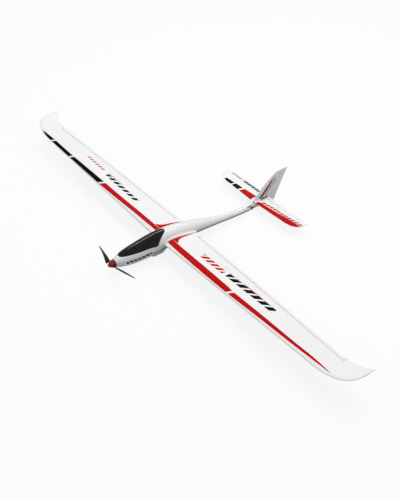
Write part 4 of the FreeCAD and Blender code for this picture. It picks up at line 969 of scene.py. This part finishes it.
def build_floor():
    mesh = bpy.data.meshes.new("floor")
    corners = [(-FLOOR_HALF, -FLOOR_HALF), (FLOOR_HALF, -FLOOR_HALF),
               (FLOOR_HALF, FLOOR_HALF), (-FLOOR_HALF, FLOOR_HALF)]
    mesh.from_pydata([(x, y, -FLOOR_DROP + FLOOR_TILT * y) for x, y in corners], [],
                     [(0, 1, 2, 3)])
    floor = bpy.data.objects.new("floor", mesh)
    scene.collection.objects.link(floor)
    put(stage_material(), floor)
    floor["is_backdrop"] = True


def build_world():
    """Soft grey room; the camera itself sees plain white."""
    world = bpy.data.worlds.new("studio")
    scene.world = world
    tree = clear_nodes(world)
    coords = add_node(tree, "TexCoord")
    height = add_node(tree, "SeparateXYZ", {0: coords.outputs["Generated"]})
    ramp = add_node(tree, "ValToRGB", {0: height.outputs[2]})
    greys = ramp.color_ramp.elements
    greys[0].position, greys[0].color = 0.0, (0.52, 0.52, 0.52, 1)
    greys[1].position, greys[1].color = 1.0, (0.62, 0.62, 0.62, 1)
    greys.new(0.35).color = (0.60, 0.60, 0.60, 1)
    ray = add_node(tree, "LightPath")
    # Reflections see a dimmer room than the diffuse light does.
    strength = add_node(tree, "Math", {0: ray.outputs["Is Glossy Ray"], 1: -0.55, 2: 1.0},
                        operation="MULTIPLY_ADD")
    room = add_node(tree, "Background", {0: ramp.outputs[0], 1: strength.outputs[0]})
    white = add_node(tree, "Background", {0: (1, 1, 1)})
    mix = add_node(tree, "MixShader", {
        0: ray.outputs["Is Camera Ray"], 1: room.outputs[0], 2: white.outputs[0]})
    add_node(tree, "OutputWorld", {0: mix.outputs[0]})


# ------------------------------------------------------------------ lights and camera
def axes_matrix(x_axis, y_axis, z_axis, location):
    return Matrix([*zip(x_axis, y_axis, z_axis, location), (0, 0, 0, 1)])


def area_light(name, shape, size, energy):
    light = bpy.data.lights.new(name, "AREA")
    light.shape = shape
    light.size = size
    light.energy = energy
    ob = bpy.data.objects.new(name, light)
    scene.collection.objects.link(ob)
    return ob


def build_lights():
    overhead = area_light("overhead", shape="DISK", size=4.5, energy=117.0)
    location, target = Vector((-0.35, 1.3, 4.3)), Vector((0.0, 0.2, 0.0))
    overhead.location = location
    overhead.rotation_euler = (target - location).to_track_quat("-Z", "Y").to_euler()
    overhead.visible_glossy = False

    # Only seen as the bright line on glossy parts
    strip = area_light("long_strip", shape="RECTANGLE", size=0.26, energy=30.0)
    strip.data.size_y = 3.2
    strip.visible_diffuse = False
    offset = (-2.43, 1.88, 2.56)        # from the point it faces
    target_height = 0.08
    z_axis = Vector(offset).normalized()
    x_axis = Vector((0, 1, 0)).cross(z_axis).normalized()
    strip.matrix_world = axes_matrix(x_axis, z_axis.cross(x_axis), z_axis,
                                     (offset[0], offset[1], offset[2] + target_height))


def build_camera():
    azimuth, elevation, roll = (math.radians(angle) for angle in (52.23, 39.77, 0.32))
    # Millimetres from the wing root along the camera's own axes
    shift_right, shift_up, distance = 192.76, -44.03, 3709.29
    back = Vector((math.sin(azimuth) * math.cos(elevation),
                   -math.cos(azimuth) * math.cos(elevation), math.sin(elevation)))
    level = Vector((0, 0, 1)).cross(back).normalized()
    upright = back.cross(level)
    right = level * math.cos(roll) + upright * math.sin(roll)
    up = level * -math.sin(roll) + upright * math.cos(roll)
    location = (right * shift_right + up * shift_up + back * distance + REST) * MM
    camera = bpy.data.cameras.new("camera")
    camera.sensor_width = 36.0
    camera.lens = 57.6
    camera.clip_end = 100.0
    ob = bpy.data.objects.new("camera", camera)
    scene.collection.objects.link(ob)
    ob.matrix_world = axes_matrix(right, up, back, location)
    scene.camera = ob


build_floor()
build_world()
build_lights()
build_camera()
scene.view_settings.view_transform = "Standard"
scene.view_settings.look = "None"
scene.view_settings.exposure = 0.0
scene.view_settings.gamma = 1.0

bounds_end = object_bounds()


def flat(value):
    """Copy of the bounds in plain types that JSON can hold."""
    if isinstance(value, dict):
        return {key: flat(item) for key, item in value.items()}
    if isinstance(value, (int, float, str)) or value is None:
        return value
    return [flat(item) for item in value]


{"start": flat(bounds_start), "end": flat(bounds_end)}
